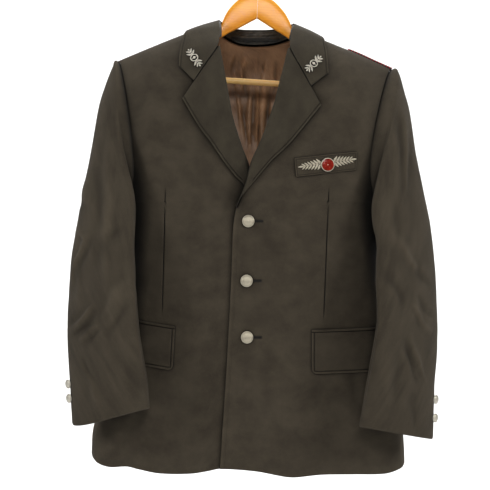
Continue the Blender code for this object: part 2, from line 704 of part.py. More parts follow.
def make_pocket(side, word):
    inner_x, inner_h, outer_x, outer_h, lean = FLAP[side]
    high_in, high_out = Vector((inner_x, inner_h - JET_HEIGHT)), Vector((outer_x, outer_h - JET_HEIGHT))
    down = Vector((0, -FLAP_DROP))
    corners = (high_in + down + Vector((lean, 0)), high_out + down, high_out, high_in)
    patch(f"pocket_flap_{word}", corners, FLAP_LIFT, FLAP_THICKNESS, 8, 4, SERGE, side, round_lower=9.0)
    gap = Vector((0, 0.4))
    jet = Vector((0, JET_HEIGHT))
    corners = (high_in + gap, high_out + gap, high_out + jet, high_in + jet)
    patch(f"pocket_jet_{word}", corners, JET_LIFT, JET_THICKNESS, 8, 1, SERGE, side)


def turned(name, centre, normal, radius, profile, segments, colour, metallic=1.0, roughness=0.35):
    """A solid of revolution on a surface: the profile runs from the rim's foot to near the middle of its face."""
    mesh = bpy.data.meshes.new(name)
    shape = bmesh.new()
    outline = [(0.0, 0.0)] + [(share * radius, height) for share, height in profile] + [(0.0, profile[-1][1] + 0.3)]
    verts = [shape.verts.new((out, 0.0, height)) for out, height in outline]
    edges = [shape.edges.new(pair) for pair in zip(verts, verts[1:])]
    bmesh.ops.spin(
        shape, geom=verts + edges, cent=(0, 0, 0), axis=(0, 0, 1), angle=2 * math.pi, steps=segments, use_merge=True
    )
    bmesh.ops.remove_doubles(shape, verts=shape.verts, dist=0.001)
    bmesh.ops.recalc_face_normals(shape, faces=shape.faces)
    turn = normal.to_track_quat("Z", "Y")
    for vert in shape.verts:
        vert.co = (turn @ vert.co + centre - Vector((0, 0, HOOK_HEIGHT))) * METRES
    finish(name, mesh, shape, colour, roughness, metallic)


def make_buttons():
    for number, (across, height) in enumerate(BUTTONS, 1):
        normal = body_normal(across, height, -1)
        spot = on_body(across, height, -1, 0.5)
        turned(f"button_{number}", spot, normal, BUTTON_RADIUS, BUTTON_PROFILE, 14, SILVER)
    for side, word in ((LEFT, "left"), (RIGHT, "right")):
        for number, along in enumerate(CUFF_BUTTONS[side], 1):
            spot, normal = sleeve_frame(side, CUFF_BUTTON_TURN, along)
            name, spot = f"cuff_button_{word}_{number}", spot + normal * 0.6
            turned(name, spot, normal, CUFF_BUTTON_RADIUS, BUTTON_PROFILE, 10, SILVER)


def sleeve_frame(side, turn, along):
    """A point on a sleeve's outer face, with its outward normal."""
    point = sleeve_point(side, turn, along)
    inside = sleeve_wall_point(side, turn, along, True)
    return point, (point - inside).normalized()


def spray_place(spot_at, half_length, half_height, lift, thickness):
    """Leaves in a row each way from the middle, as a thin plate with scalloped edges."""

    def place(u, v, inner):
        along = 2 * u - 1
        leaf = abs(math.sin(abs(along) * SPRAY_LEAVES * math.pi))
        height = half_height * (1 - 0.55 * abs(along)) * (0.72 + 0.28 * leaf)
        height *= min(1.0, (1 - abs(along)) * 8 + 0.25)
        across = (2 * v - 1) * height
        rise = thickness * (1 - 0.45 * abs(2 * v - 1))
        return spot_at(along * half_length, across, lift + (0.0 if inner else rise))

    return place


def make_badge():
    turn = math.radians(BADGE["turn"])

    def spot_at(along, up, lift):
        across = BADGE["across"] + along * math.cos(turn) - up * math.sin(turn)
        height = BADGE["height"] + along * math.sin(turn) + up * math.cos(turn)
        return front_face(LEFT, across, height, lift)

    place = spray_place(spot_at, BADGE["half_length"], BADGE["half_height"], BADGE_LIFT, BADGE_THICKNESS)
    wall("breast_badge", 18, 2, place, SILVER, 0.3, 1.0)
    normal = body_normal(BADGE["across"], BADGE["height"], -1)
    spot = spot_at(0, BOSS_BELOW, BADGE_LIFT + BADGE_THICKNESS + 0.5)
    turned("badge_boss", spot, normal, BOSS_RADIUS, BOSS_PROFILE, 14, ENAMEL, 0.0, 0.25)


def make_collar_pin(side, name):
    stations = collar_stations()
    u_middle, v_middle, degrees = PIN_PLACE[side]
    turn = math.radians(degrees)
    middle = collar_point(stations, u_middle, v_middle, False)
    behind = collar_point(stations, u_middle, v_middle, True)
    normal = (middle - behind).normalized()
    right = (Vector((1, 0, 0)) - normal * normal.x).normalized()
    up = right.cross(normal)
    up *= math.copysign(1, up.z)

    def spot_at(along, width, lift):
        x = along * math.cos(turn) - width * math.sin(turn)
        z = along * math.sin(turn) + width * math.cos(turn)
        return middle + right * x + up * z + normal * lift

    place = spray_place(spot_at, PIN_LENGTH / 2, PIN_WIDTH / 2, PIN_LIFT, PIN_THICKNESS)
    wall(name, 10, 2, place, SILVER, 0.3, 1.0)


def make_loop():
    """The tape loop, sewn at its ends to the stand's inside and arched a little off it between them."""
    stations = collar_stations()

    def place(u, v, inner):
        at = between(LOOP_PLACES[0], LOOP_PLACES[1], u)
        arch = math.sin(math.pi * u)
        down = between(LOOP_LOW, LOOP_HIGH, v) - LOOP_RISE * arch
        spot = stand_point(stations, at, down, True)
        inwards = (stand_point(stations, at, down, True) - stand_point(stations, at, down, False)).normalized()
        return spot + inwards * (2 * SEAM_GAP + LOOP_BOW * arch + (LOOP_CLOTH if inner else 0.0))

    wall("hanger_loop", 10, 1, place, BAND)


def make_braid():
    def place(u, v, inner):
        across = between(BRAID_ENDS[0], BRAID_ENDS[1], u)
        turn = math.radians(between(-BRAID_SPREAD, BRAID_SPREAD, v))
        drop = BRAID_DROP * (1 - math.cos(turn * 2))
        y = math.sin(turn) * BRAID_WIDTH
        slope = (read(SHOULDER, across + 1) - read(SHOULDER, across - 1)) / 2
        normal = Vector((-slope, 0, 1)).normalized()
        return Vector((across, y, read(SHOULDER, across) - drop)) + normal * (0.6 + (0.0 if inner else BRAID_THICKNESS))

    wall("shoulder_braid", 12, 4, place, BRAID, 0.8)


def tilt(across, height, degrees=HANGER_TILT):
    """Turns a place in the hanger's own frame with the hanger."""
    angle = -math.radians(degrees)
    x, z = across - HANGER_PIVOT[0], height - HANGER_PIVOT[1]
    return (
        HANGER_PIVOT[0] + x * math.cos(angle) - z * math.sin(angle),
        HANGER_PIVOT[1] + x * math.sin(angle) + z * math.cos(angle),
    )


def make_hanger_half(side, name):
    last = ARM[side][-1][0]

    def place(u, v, inner):
        out = between(0.0, last, u)
        top, bottom = read(ARM[side], out), read(ARM[side], out, 2)
        # The section is a flat oval-edged board, thinner towards the arm's end.
        angle = math.pi * v
        half = (top - bottom) / 2
        across, height = tilt(HANGER_MIDDLE + side * (out + SEAM_GAP / 2), (top + bottom) / 2 + half * math.cos(angle))
        bulge = abs(math.sin(angle)) ** 0.35
        # The board's top and bottom are narrow flats.
        half_depth = WOOD_DEPTH / 2 * bulge * between(1.0, 0.8, u) if 0 < v < 1 else 0.4
        return Vector((across, half_depth if inner else -half_depth, height))

    wall(name, 14, 6, place, WOOD, 0.25)


def make_bar():
    mesh = bpy.data.meshes.new("hanger_bar")
    shape = bmesh.new()
    bmesh.ops.create_cone(
        shape, cap_ends=True, segments=12, radius1=BAR_RADIUS, radius2=BAR_RADIUS, depth=2 * BAR_REACH
    )
    angle = -math.radians(BAR_TILT)
    across, height = tilt(HANGER_MIDDLE, BAR_HEIGHT)
    for vert in shape.verts:
        along, up = vert.co.z, vert.co.x
        x = across + along * math.cos(angle) - up * math.sin(angle)
        z = height + along * math.sin(angle) + up * math.cos(angle)
        vert.co = Vector((x, vert.co.y, z - HOOK_HEIGHT)) * METRES
    shape.normal_update()
    bmesh.ops.recalc_face_normals(shape, faces=shape.faces)
    finish("hanger_bar", mesh, shape, BAR_WOOD, 0.35)


def make_hook():
    """A plain wire hook: a stem, a short bend, and three quarters of a turn. The origin is the top of its inside."""
    centre = HOOK_HEIGHT - HOOK_RADIUS
    wire = HOOK_RADIUS + WIRE_RADIUS
    points = [(HANGER_MIDDLE, HOOK_STEM), (HANGER_MIDDLE, HOOK_STEM + 8), (HANGER_MIDDLE, HOOK_STEM + 17)]
    for degrees in range(-70, -361, -18):
        turn = math.radians(degrees)
        points.append((wire * math.cos(turn), centre + wire * math.sin(turn)))
    curve = bpy.data.curves.new("hanger_hook", "CURVE")
    curve.dimensions = "3D"
    curve.bevel_depth = WIRE_RADIUS * METRES
    curve.bevel_resolution = 2
    curve.use_fill_caps = True
    line = curve.splines.new("POLY")
    smooth = [Vector((x, 0, z)) for x, z in points]
    line.points.add(HOOK_PLACES - 1)
    for index in range(HOOK_PLACES):
        spot = curve_through(smooth, index / (HOOK_PLACES - 1) * (len(smooth) - 1))
        line.points[index].co = (*((spot - Vector((0, 0, HOOK_HEIGHT))) * METRES), 1.0)
    made = bpy.data.objects.new("hanger_hook", curve)
    bpy.context.scene.collection.objects.link(made)
    material = bpy.data.materials.new("hanger_hook")
    material.use_nodes = True
    shader = material.node_tree.nodes["Principled BSDF"]
    shader.inputs["Base Color"].default_value = (*STEEL, 1.0)
    shader.inputs["Roughness"].default_value = 0.25
    shader.inputs["Metallic"].default_value = 1.0
    curve.materials.append(material)


def main():
    for obj in list(bpy.data.objects):
        bpy.data.objects.remove(obj, do_unlink=True)
    make_front(LEFT, "front_left")
    make_front(RIGHT, "front_right")
    make_back(LEFT, "back_left")
    make_back(RIGHT, "back_right")
    for side, word in ((LEFT, "left"), (RIGHT, "right")):
        make_sleeve_half(side, 0, 180, f"sleeve_top_{word}")
        make_sleeve_half(side, 180, 360, f"sleeve_under_{word}")
        make_lapel(side, f"lapel_{word}")
        make_pocket(side, word)
        make_hanger_half(side, f"hanger_{word}")
        make_collar_pin(side, f"collar_pin_{word}")
    make_collar()
    make_stand()
    make_lining()
    make_loop()
    patch("breast_welt", WELT_CORNERS, WELT_LIFT, WELT_THICKNESS, 6, 2, SERGE)
    make_badge()
    make_buttons()
    make_braid()
    make_bar()
    make_hook()


main()
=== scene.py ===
"""The looks of a uniform jacket on a wooden hanger: serge, satin, insignia, buttons and varnished wood.

Tables and sizes are in millimetres, in the CAD's own frame, and a mesh is scaled to metres when it is made.
X runs across as seen from the front, -Y is the front, and heights are measured up from the hem.
"""

import math
from functools import partial

import bmesh
import bpy
import numpy as np
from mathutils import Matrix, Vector, noise


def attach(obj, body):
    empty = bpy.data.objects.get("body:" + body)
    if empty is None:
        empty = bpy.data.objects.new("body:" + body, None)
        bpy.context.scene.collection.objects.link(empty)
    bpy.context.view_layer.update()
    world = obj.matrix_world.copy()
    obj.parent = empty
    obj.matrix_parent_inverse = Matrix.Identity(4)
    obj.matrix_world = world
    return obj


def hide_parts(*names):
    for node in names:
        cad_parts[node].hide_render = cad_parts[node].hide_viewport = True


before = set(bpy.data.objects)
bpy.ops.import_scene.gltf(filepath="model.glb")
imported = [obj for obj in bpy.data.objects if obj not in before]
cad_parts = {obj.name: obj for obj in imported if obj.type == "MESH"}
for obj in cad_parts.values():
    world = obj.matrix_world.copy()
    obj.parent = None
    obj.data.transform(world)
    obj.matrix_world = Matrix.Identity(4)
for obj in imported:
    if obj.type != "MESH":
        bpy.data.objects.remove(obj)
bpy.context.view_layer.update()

METRES = 0.001
HOOK_HEIGHT = 883.7
LEFT, RIGHT = 1, -1
WORD = {LEFT: "left", RIGHT: "right"}

# The body, as part.py has it

HEM, ARMPIT = 8.0, 452.0
# Columns: height, seen_left, seen_right, front, back.
BODY = (
    (-20, -278, 253, 66, 66), (70, -275, 249, 68, 66), (150, -254, 236, 70, 66), (250, -228, 216, 70, 64),
    (350, -216, 206, 71, 64), (455, -226, 217, 73, 68), (575, -238, 230, 73, 68), (700, -240, 238, 70, 66),
    (800, -240, 240, 68, 64),
)
RING_POWER = 2.7
# Columns: across, height.
SHOULDER = (
    (-260, 685), (-234, 696), (-179, 719), (-114, 744.5), (-80, 754), (-40, 763), (0, 767), (40, 756),
    (80, 743), (112, 732.5), (146, 719), (175, 707.5), (201, 695.5), (230, 682.5), (260, 668),
)
SHOULDER_DROP = 110.0
ARMHOLE_TOP_SHARE = 0.975
ARMHOLE_DIP = {LEFT: 0.134, RIGHT: 0.115}
ARMHOLE_LOW = 0.45
SHOULDER_POINT = {LEFT: 681.5, RIGHT: 695.0}
SIDE_SEAM_ANGLE = 72.0
# Columns: height, across.
EDGE = {
    LEFT: (
        (-10, -61), (74, -56), (150, -51), (254, -45), (333, -41), (412, -38), (445, -33), (459, -28),
        (470, -23), (488, -15.2), (503, -11), (523, -4.4), (553, 9.5), (587, 22.5), (607, 29.8),
        (657, 43.5), (703, 55), (722, 62), (741, 80),
    ),
    RIGHT: (
        (-10, -14), (100, -5), (232, 5), (325, 8), (450, 10), (480, -3), (520, -17), (540, -25), (572, -35.2),
        (609, -44.2), (657, -53), (690, -59), (710, -63), (727, -68), (752, -80),
    ),
}
BREAK = {LEFT: 447.0, RIGHT: 452.0}
GORGE = {LEFT: 706.0, RIGHT: 710.0}
NECK_POINT = {LEFT: (80.0, 741.0), RIGHT: (-80.0, 752.0)}
BACK_NECK_HEIGHT = 728.0
BACK_NECK_SHARE = 2 / 9
# Columns: across, height.
HEM_LINE = (
    (-280, 30), (-266, 19), (-245, 14), (-215, 16), (-195, 12), (-160, 6), (-110, 6), (-80, 10), (-58, 14),
    (0, 10), (48, 1), (66, 0), (108, 4), (162, 4), (216, 3), (240, 8), (250, 13), (262, 26),
)
BACK_HEM = 11.0
UNDER_SINK, LAPEL_SINK = 4.0, 7.8
SINK_MIDDLE, SINK_REACH = (-2.0, 482.0), (75.0, 120.0)

# Columns: height, across.
LAPEL_EDGE = {
    LEFT: (
        (447, -31.5), (457.5, -27), (467, -21), (488, -4), (512, 16), (524, 26.5), (548, 52), (574, 74),
        (615, 107),
    ),
    RIGHT: ((452, 2), (484, -20), (500, -36), (526, -56), (556, -76), (574, -90), (600, -106), (626, -121)),
}
# Columns: past, lift, share.
ROLL = (
    (-4.4, -1.6, 0.0), (-5.6, 1.5, 0.0), (-3.9, 4.9, 0.0), (1.0, 6.6, 0.02), (3.0, 6.4, 0.16),
    (2.0, 5.6, 0.40), (1.0, 4.7, 0.68), (0.0, 3.8, 1.0),
)
NOTCH_SHARE = 0.66
LAPEL_RISE, RISE_FROM, RISE_OVER = 3.4, 500.0, 60.0
SEAM_GAP = 0.3

# Columns: gorge, roll_x, roll_y, roll_h, edge_x, edge_h, facing, swell.
COLLAR = {
    RIGHT: (
        (NOTCH_SHARE, 0, 0, 0, -126, 679.5, -1, 0.0), (0.33, 0, 0, 0, -126, 695, -1, 1.5),
        (0.0, 0, 0, 0, -124, 710, -1, 3.0), (None, -60, -44, 735, -121, 723, -1, 5.0),
        (None, -61, -25, 753, -118, 735, -1, 4.5), (None, -62, 0, 766, -114, 748.5, 0, 1.6),
        (None, -54, 27, 763, -98, 736, 1, 5.0), (None, -31, 46, 757.5, -58, 721, 1, 4.0),
        (None, 0, 53, 757, 0, 712, 1, 3.5),
    ),
    LEFT: (
        (NOTCH_SHARE, 0, 0, 0, 119, 668, -1, 0.0), (0.33, 0, 0, 0, 118, 684, -1, 1.5),
        (0.0, 0, 0, 0, 117, 699, -1, 3.0), (None, 58, -44, 731, 115, 713, -1, 5.0),
        (None, 62, -25, 749, 113, 725, -1, 4.5), (None, 65, 0, 760, 111, 737, 0, 1.6),
        (None, 56, 27, 760, 96, 726, 1, 5.0), (None, 32, 46, 757, 58, 714, 1, 4.0),
        (None, 0, 53, 757, 0, 712, 1, 3.5),
    ),
}
COLLAR_LIFT = {"gorge": 7.4, "edge": 6.8}

# Columns: out_x, out_y, out_h, in_x, in_y, in_h, front, back, swing, lap.
SLEEVE = {
    RIGHT: (
        (-240.5, 0, 691, -231, -2, 436, 54, 50, -4, 14), (-255.5, 0, 654, -233, -6, 418, 58, 48, -6, 28),
        (-267.5, -1, 612, -232, -16, 402, 58, 44, -6, 37), (-280, -2, 531, -222, -40, 378, 55, 38, 4, 37),
        (-294, -3, 446, -205, -70, 346, 48, 31, 22, 32), (-304, -5, 375, -199, -98, 310, 40, 26, 38, 29),
        (-311, -12, 293, -194, -112, 262, 36, 26, 40, 23), (-312, -30, 220, -186, -119, 210, 33, 26, 35, 16),
        (-308, -47, 163, -177, -118, 166, 30, 25, 28, 7), (-303, -64, 90, -173, -113, 119, 27, 24, 20, 0),
    ),
    LEFT: (
        (242, 0, 678, 225, -2, 436, 54, 50, -4, 20), (253, 0, 642, 227, -6, 414, 58, 48, -6, 33),
        (262, -1, 606, 227, -16, 396, 58, 44, -6, 39), (272, -2, 531, 217, -40, 372, 55, 36, 4, 33),
        (284, -3, 455, 204, -70, 342, 48, 31, 22, 32), (293, -5, 385, 199, -98, 305, 40, 26, 38, 31),
        (299, -12, 305, 198, -112, 255, 36, 26, 40, 26), (300, -30, 222, 187, -119, 196, 33, 26, 35, 16),
        (295, -47, 150, 177, -118, 142, 30, 25, 28, 7), (291.5, -64, 64, 167, -113, 90, 27, 24, 20, 0),
    ),
}
LAP_FORWARD, SLEEVE_SEAM_LIFT = 0.45, -0.4

BUTTON_RADIUS = 10.2
BUTTONS = ((-12.7, 424.0), (-15.5, 325.5), (-14.7, 232.2))
CUFF_BUTTON_RADIUS, CUFF_BUTTON_TURN = 7.5, 16.0
CUFF_BUTTONS = {LEFT: (0.9255, 0.9605), RIGHT: (0.911, 0.943)}
# The seen left cuff's front edge hangs lower in the middle.
CUFF_DIP, CUFF_DIP_FROM = {LEFT: 0.0, RIGHT: 6.0}, 0.8
# Columns: inner_x, inner_h, outer_x, outer_h, lean.
FLAP = {LEFT: (92.0, 245.0, 200.0, 247.5, 0.0), RIGHT: (-134.0, 250.5, -210.0, 261.5, -3.5)}
FLAP_DROP, JET_HEIGHT = 68.0, 5.6
WELT_SIZE = (31.5, 101.0)
WELT_CORNERS = ((66.0, 496.5), (166.0, 508.5), (167.5, 539.5), (63.0, 528.0))
BADGE = {"across": 117.5, "height": 520.0, "half_length": 49.5, "half_height": 7.2, "turn": 8.5}
BOSS_RADIUS, BOSS_BELOW = 11.5, -3.0
PIN_PLACE = {RIGHT: (0.070, 0.44, -57.0), LEFT: (0.934, 0.47, 49.0)}
PIN_LENGTH, PIN_WIDTH, PIN_RING = 40.0, 13.5, 6.0
# Columns: share of the radius, height.
BUTTON_SHAPE = (
    (0.9, 0.0), (0.985, 0.3), (1.0, 0.9), (0.985, 1.5), (0.93, 1.95), (0.87, 1.9), (0.83, 1.55), (0.79, 1.75),
    (0.7, 2.3), (0.58, 2.75), (0.44, 3.1), (0.3, 3.35), (0.24, 3.3), (0.2, 3.65), (0.1, 3.85),
)
HOLE_START, HOLE_LENGTH, HOLE_STITCHES, HOLE_WIDTH = 4.0, 20.0, 26, 2.2
THREAD_RADII = (0.34, 0.24)

STAND_FIRST = 3
STAND_INSET, STAND_BELOW_ROLL = 1.6, 3.0
STAND_CENTRE_Y, SHOULDER_SHARE, STAND_END_ABOVE_GORGE = -5.0, 0.6, 14.0
STAND_ABOVE_SEAM, STAND_IN_AT_SEAM = 2.9, 0.9
LINING_INSET, LINING_REACH, LINING_HIGH = 6.4, 0.97, 0.985
LINING_LOW = 1 - 11 / 20
LOOP_PLACES = (0.36, 0.64)
LOOP_LOW, LOOP_HIGH, LOOP_RISE, LOOP_BOW = 0.96, 0.74, 0.2, 2.5
BRAID_ENDS, CORD_PITCH = (156.0, 230.0), 5.0
BRAID_SPREAD, BRAID_WIDTH, BRAID_DROP, BRAID_THICKNESS = 55.0, 8.5, 0.6, 2.0

HANGER_TILT, BAR_TILT = 2.4, 3.8
HANGER_MIDDLE = 3.5
HANGER_PIVOT = (4.0, 800.0)
WOOD_DEPTH = 14.0
# Columns: out, top, bottom.
ARM = {
    LEFT: (
        (0, 809, 768.7), (14, 806, 760.5), (30, 797, 751), (46, 780.5, 742.5), (54, 768, 737),
        (60, 756.5, 733.5), (70, 746, 728.5), (84, 737.5, 721.5), (117, 724.5, 705), (160, 706, 686),
        (183, 695.5, 675), (189, 692.5, 650), (202, 685.5, 653),
    ),
    RIGHT: (
        (0, 809, 768.7), (14, 807.5, 760.5), (30, 801, 751), (46, 785, 742.5), (54, 771.5, 737),
        (60, 756.5, 733.5), (70, 746, 728.5), (84, 738, 721.5), (117, 724.5, 705), (160, 706, 686),
        (183, 695.5, 675), (189, 692.5, 650), (202, 685.5, 653),
    ),
}
BAR_RADIUS, BAR_HEIGHT, BAR_REACH = 5.3, 660.5, 179.0
WIRE_RADIUS, HOOK_RADIUS, HOOK_STEM = 2.1, 19.0, 809.5

# The cloth's own looks

# Crease columns: from_x, from_h, to_x, to_h, width, height, bow.
# A height above 0 is a ridge, and one below 0 a trough.
FRONT_CREASES = (
    (-206, 540, -96, 533, 7, 0.8, 4), (-205, 522, -120, 526, 9, -0.7, -3),
    (-190, 610, -100, 570, 16, 0.9, 8), (-46, 143, 34, 146, 6, -1.1, -4), (-50, 158, 60, 155, 9, 1.2, 5),
    (-26, 186, 4, 204, 4, -0.7, 1), (-24, 208, 20, 214, 6, 0.7, 2), (-190, 150, -60, 110, 16, -1.0, 8),
    (30, 100, 150, 60, 14, 1.1, -8), (150, 200, 200, 60, 12, -1.6, 6), (190, 150, 236, 50, 12, 1.3, -5),
    (-215, 160, -240, 40, 12, 1.4, -6), (-170, 190, -200, 60, 13, -1.4, 6),
    (150, 600, 90, 470, 18, -1.0, 8), (185, 640, 170, 470, 13, 1.2, -6), (-160, 640, -180, 480, 14, 1.1, 6),
    (-40, 330, -120, 300, 14, 0.8, 6), (20, 330, 110, 350, 14, -0.8, 6), (60, 420, 150, 440, 14, 0.9, -6),
    (-60, 425, -140, 445, 14, 0.8, 6),
)
BACK_CREASES = (
    (-190, 560, -60, 600, 14, -1.3, 8), (190, 560, 60, 600, 14, -1.3, 8),
    (-170, 500, -50, 520, 12, 1.2, -6), (170, 510, 50, 520, 12, 1.2, -6), (-120, 640, 0, 660, 12, -1.1, 5),
    (120, 640, 10, 655, 12, -1.1, 5), (-180, 330, -20, 290, 16, 1.3, 8), (160, 320, 20, 300, 16, -1.2, 8),
    (-200, 200, -120, 40, 14, 1.5, 6), (190, 210, 130, 50, 14, 1.4, -6), (-60, 230, -90, 40, 16, -1.4, 6),
    (70, 220, 60, 40, 16, -1.3, -6),
)
DARTS = {RIGHT: ((-149.8, 478.6), (-155.3, 274.0)), LEFT: ((120.3, 478.6), (112.2, 263.3))}
DART_WIDTH, DART_DEPTH, DART_REACH, DART_SWELL = 0.8, 1.76, 9.0, 0.9
SLEEVE_CREASES = {
    RIGHT: (
        (-296, 411, -279, 389, 3.5, 1.6, 1), (-275, 404, -308, 318, 3.8, 2.4, 6),
        (-266, 400, -298, 316, 6, -2.2, 6), (-262, 291, -312, 240, 3.4, 2.4, -3),
        (-258, 280, -306, 232, 4.5, -2.2, -3), (-257, 255, -292, 226, 3.4, 2.0, 2),
        (-250, 250, -284, 216, 4, -1.6, 2), (-241, 560, -243, 300, 8, 1.9, 5),
        (-262, 540, -262, 380, 12, -1.5, -5), (-298, 372, -296, 276, 8, 1.5, -3),
        (-215, 420, -262, 350, 9, -1.6, 6), (-206, 330, -250, 262, 6, 1.6, 5),
        (-196, 300, -240, 232, 8, -1.8, 5), (-272, 180, -250, 110, 8, 1.3, 4),
        (-210, 200, -195, 130, 8, -1.2, -4), (-300, 500, -266, 440, 8, 1.5, 4),
        (-286, 210, -262, 160, 6, -1.2, 3), (-226, 470, -232, 380, 7, -1.1, 3),
    ),
    LEFT: (
        (250, 243, 281, 157, 3.8, 2.4, 4), (243, 236, 268, 150, 6, -2.0, 4),
        (253, 292, 291, 238, 3.6, 2.3, 4), (262, 306, 294, 262, 4.5, -2.0, 4),
        (246, 618, 248, 468, 4.6, 2.4, -3), (238, 600, 238, 450, 7, -1.7, -3),
        (256, 580, 260, 430, 8, -1.6, 4), (208, 420, 250, 345, 8, 1.6, -6),
        (203, 350, 240, 280, 8, -1.8, -5), (230, 400, 286, 330, 7, 1.7, 6),
        (262, 360, 290, 310, 6, -1.8, 4), (210, 240, 216, 120, 8, 1.3, 4), (255, 150, 262, 80, 8, -1.2, 4),
        (222, 470, 230, 370, 8, -1.3, -4), (232, 210, 226, 120, 7, -1.2, 3),
    ),
}
SLEEVE_BACK_CREASES = (
    (-290, 470, -230, 400, 10, 1.7, 5), (-300, 420, -226, 350, 9, -1.6, 5),
    (-306, 370, -232, 310, 10, 1.6, 5), (-308, 300, -220, 260, 9, -1.3, 5),
    (290, 460, 232, 400, 10, 1.7, 5), (292, 410, 224, 350, 9, -1.6, 5), (296, 360, 224, 300, 10, 1.5, 5),
    (296, 290, 216, 250, 9, -1.2, 5),
)
LAPEL_CREASES = (
    (-36, 610, -60, 540, 9, -0.7, 3), (-50, 560, -84, 600, 10, 0.6, 3), (40, 620, 60, 540, 9, -0.7, 3),
    (50, 570, 78, 600, 10, 0.6, 3), (-20, 510, -44, 500, 6, 0.6, 2),
)
LINING_CREASES = (
    (3.0, 722, 3.0, 520, 1.6, 2.6, 0), (5.4, 722, 5.6, 520, 1.0, -2.8, 0), (-5, 664, -5, 520, 1.1, -2.8, 1),
    (-8, 668, -10, 545, 2.6, 2.2, 2), (-16, 715, -24, 655, 3.2, 2.4, 3), (-28, 705, -17, 640, 4, -2.2, -3),
    (20, 708, 13, 600, 3.6, 2.4, 3), (27, 660, 18, 560, 4.0, -2.8, 2), (34, 706, 29, 640, 3.2, -2.0, -3),
    (-32, 650, -18, 580, 3.4, 2.2, 2), (26, 640, 33, 590, 3.2, 1.8, 2), (-22, 630, -14, 560, 2.8, -2.2, 2),
    (12, 700, 18, 670, 2.4, -1.8, 1), (-38, 690, -30, 650, 2.6, 1.8, 1), (-34, 716, -40, 680, 3, -1.6, 1),
)
# Columns: height, pitch, seed. The seed of a piece that has one on each side also takes its side.
RIPPLES = {
    "front": ((0.9, 70, 1), (0.35, 24, 5)),
    "back": ((1.1, 80, 3), (0.35, 24, 7)),
    "sleeve": ((1.0, 60, 9), (0.3, 22, 11)),
    "lapel": ((0.5, 50, 13),),
    "lapel_fine": ((0.25, 20, 15),),
    "collar": ((0.5, 45, 21),),
    "stand": ((0.7, 14, 31),),
    "lining": ((0.8, 26, 41), (0.3, 9, 43)),
    "flap": ((0.9, 34, 51),),
    "jet": ((0.2, 12, 55),),
    "welt": ((0.4, 25, 61),),
    "loop": ((0.2, 8, 71),),
}
# Rows and columns of points.
FRONT_ROWS, BACK_LATTICE = 236, (200, 80)
STAND_LATTICE, LOOP_LATTICE, CORD_LATTICE = (18, 140), (8, 60), (30, 160)
SLEEVE_LATTICE = {"top": (226, 96), "under": (186, 60)}
LINING_ROWS, FLAP_LATTICE, WELT_LATTICE, JET_ROWS = 110, (26, 40), (10, 40), 12
PANEL_CLOSENESS, LINING_CLOSENESS = 1.3, 1.2
HEAD_ROLL, HEAD_REACH = 2.4, 9.0
# Columns: in, down.
HEAD_TUCKS = ((6.0, 3.6), (2.4, 2.2), (1.2, 0.5))
EDGE_FOLD = 1.3
STITCH_INSET, STITCH_WIDTH, STITCH_DEPTH = 4.2, 0.7, 0.9
WELT_STITCH, STITCHED_FROM = 2.6, 22.0
SEAM_LINE, SEAM_TURN = 1.6, 0.9
# What turns the places up a panel, a lapel and round the collar into millimetres.
PANEL_LENGTH, LAPEL_LENGTH, COLLAR_LENGTH = 900.0, 220.0, 620.0
SERGE_CLOTH, LAPEL_CLOTH, FLAP_CLOTH, JET_CLOTH, WELT_CLOTH = 2.2, 2.3, 2.2, 2.0, 1.8
BAND_CLOTH, LINING_CLOTH, TAPE_CLOTH = 1.5, 0.8, 1.1
CLOTH_SHIFT, SEED_STEP = 0.37, 17.3
SHEET_WIDTH, SHEET_SHARE = 0.01, 0.31
EDGE_PLACES = (0.0, 0.3, 0.7, 1.3, 2.2, 3.0, 3.5, 3.9, 4.3, 4.8, 5.6, 7.5)


def between(low, high, share):
    return low + (high - low) * share


def ease(share):
    share = np.clip(share, 0.0, 1.0)
    return share * share * (3 - 2 * share)


def hermite(start, slope_in, end, slope_out, share):
    square, cube = share**2, share**3
    return (
        start * (2 * cube - 3 * square + 1) + slope_in * (cube - 2 * square + share)
        + end * (3 * square - 2 * cube) + slope_out * (cube - square)
    )


def curve_through(values, at):
    """A smooth curve through evenly spaced values, read at places from 0 to the last index."""
    values, at = np.asarray(values, float), np.asarray(at, float)
    last = len(values) - 1
    padded = np.concatenate([[values[0] * 2 - values[1]], values, [values[last] * 2 - values[last - 1]]])
    index = np.clip(at.astype(int), 0, last - 1)
    share = (at - index).reshape(at.shape + (1,) * (values.ndim - 1))
    before, start, end, after = (padded[index + step] for step in range(4))
    return hermite(start, (end - before) * 0.5, end, (after - start) * 0.5, share)


def read(rows, key, column=1):
    """A column of a table between its rows, smoothed, where the first column is the key."""
    table = np.array(rows, float)
    keys, values = table[:, 0], table[:, column]
    last = len(keys) - 1
    key = np.clip(key, keys[0], keys[-1])
    index = np.clip(np.searchsorted(keys, key, side="right") - 1, 0, last - 1)
    low, high = np.clip(np.arange(last + 1) - 1, 0, last), np.clip(np.arange(last + 1) + 1, 0, last)
    slopes = (values[high] - values[low]) / (keys[high] - keys[low])
    span = keys[index + 1] - keys[index]
    share = (key - keys[index]) / span
    return hermite(values[index], slopes[index] * span, values[index + 1], slopes[index + 1] * span, share)


def points(across, y, height):
    return np.stack(np.broadcast_arrays(across, y, height), -1).astype(float)


def size_of(vectors):
    return np.linalg.norm(vectors, axis=-1)


def unit(vectors):
    return vectors / np.maximum(np.linalg.norm(vectors, axis=-1, keepdims=True), 1e-9)


# The body's surface

def ring(height):
    """The middle, the half width and the two depths of the body at a height."""
    left, right, front, back = (read(BODY, height, column) for column in (1, 2, 3, 4))
    return (left + right) / 2, (right - left) / 2, front, back


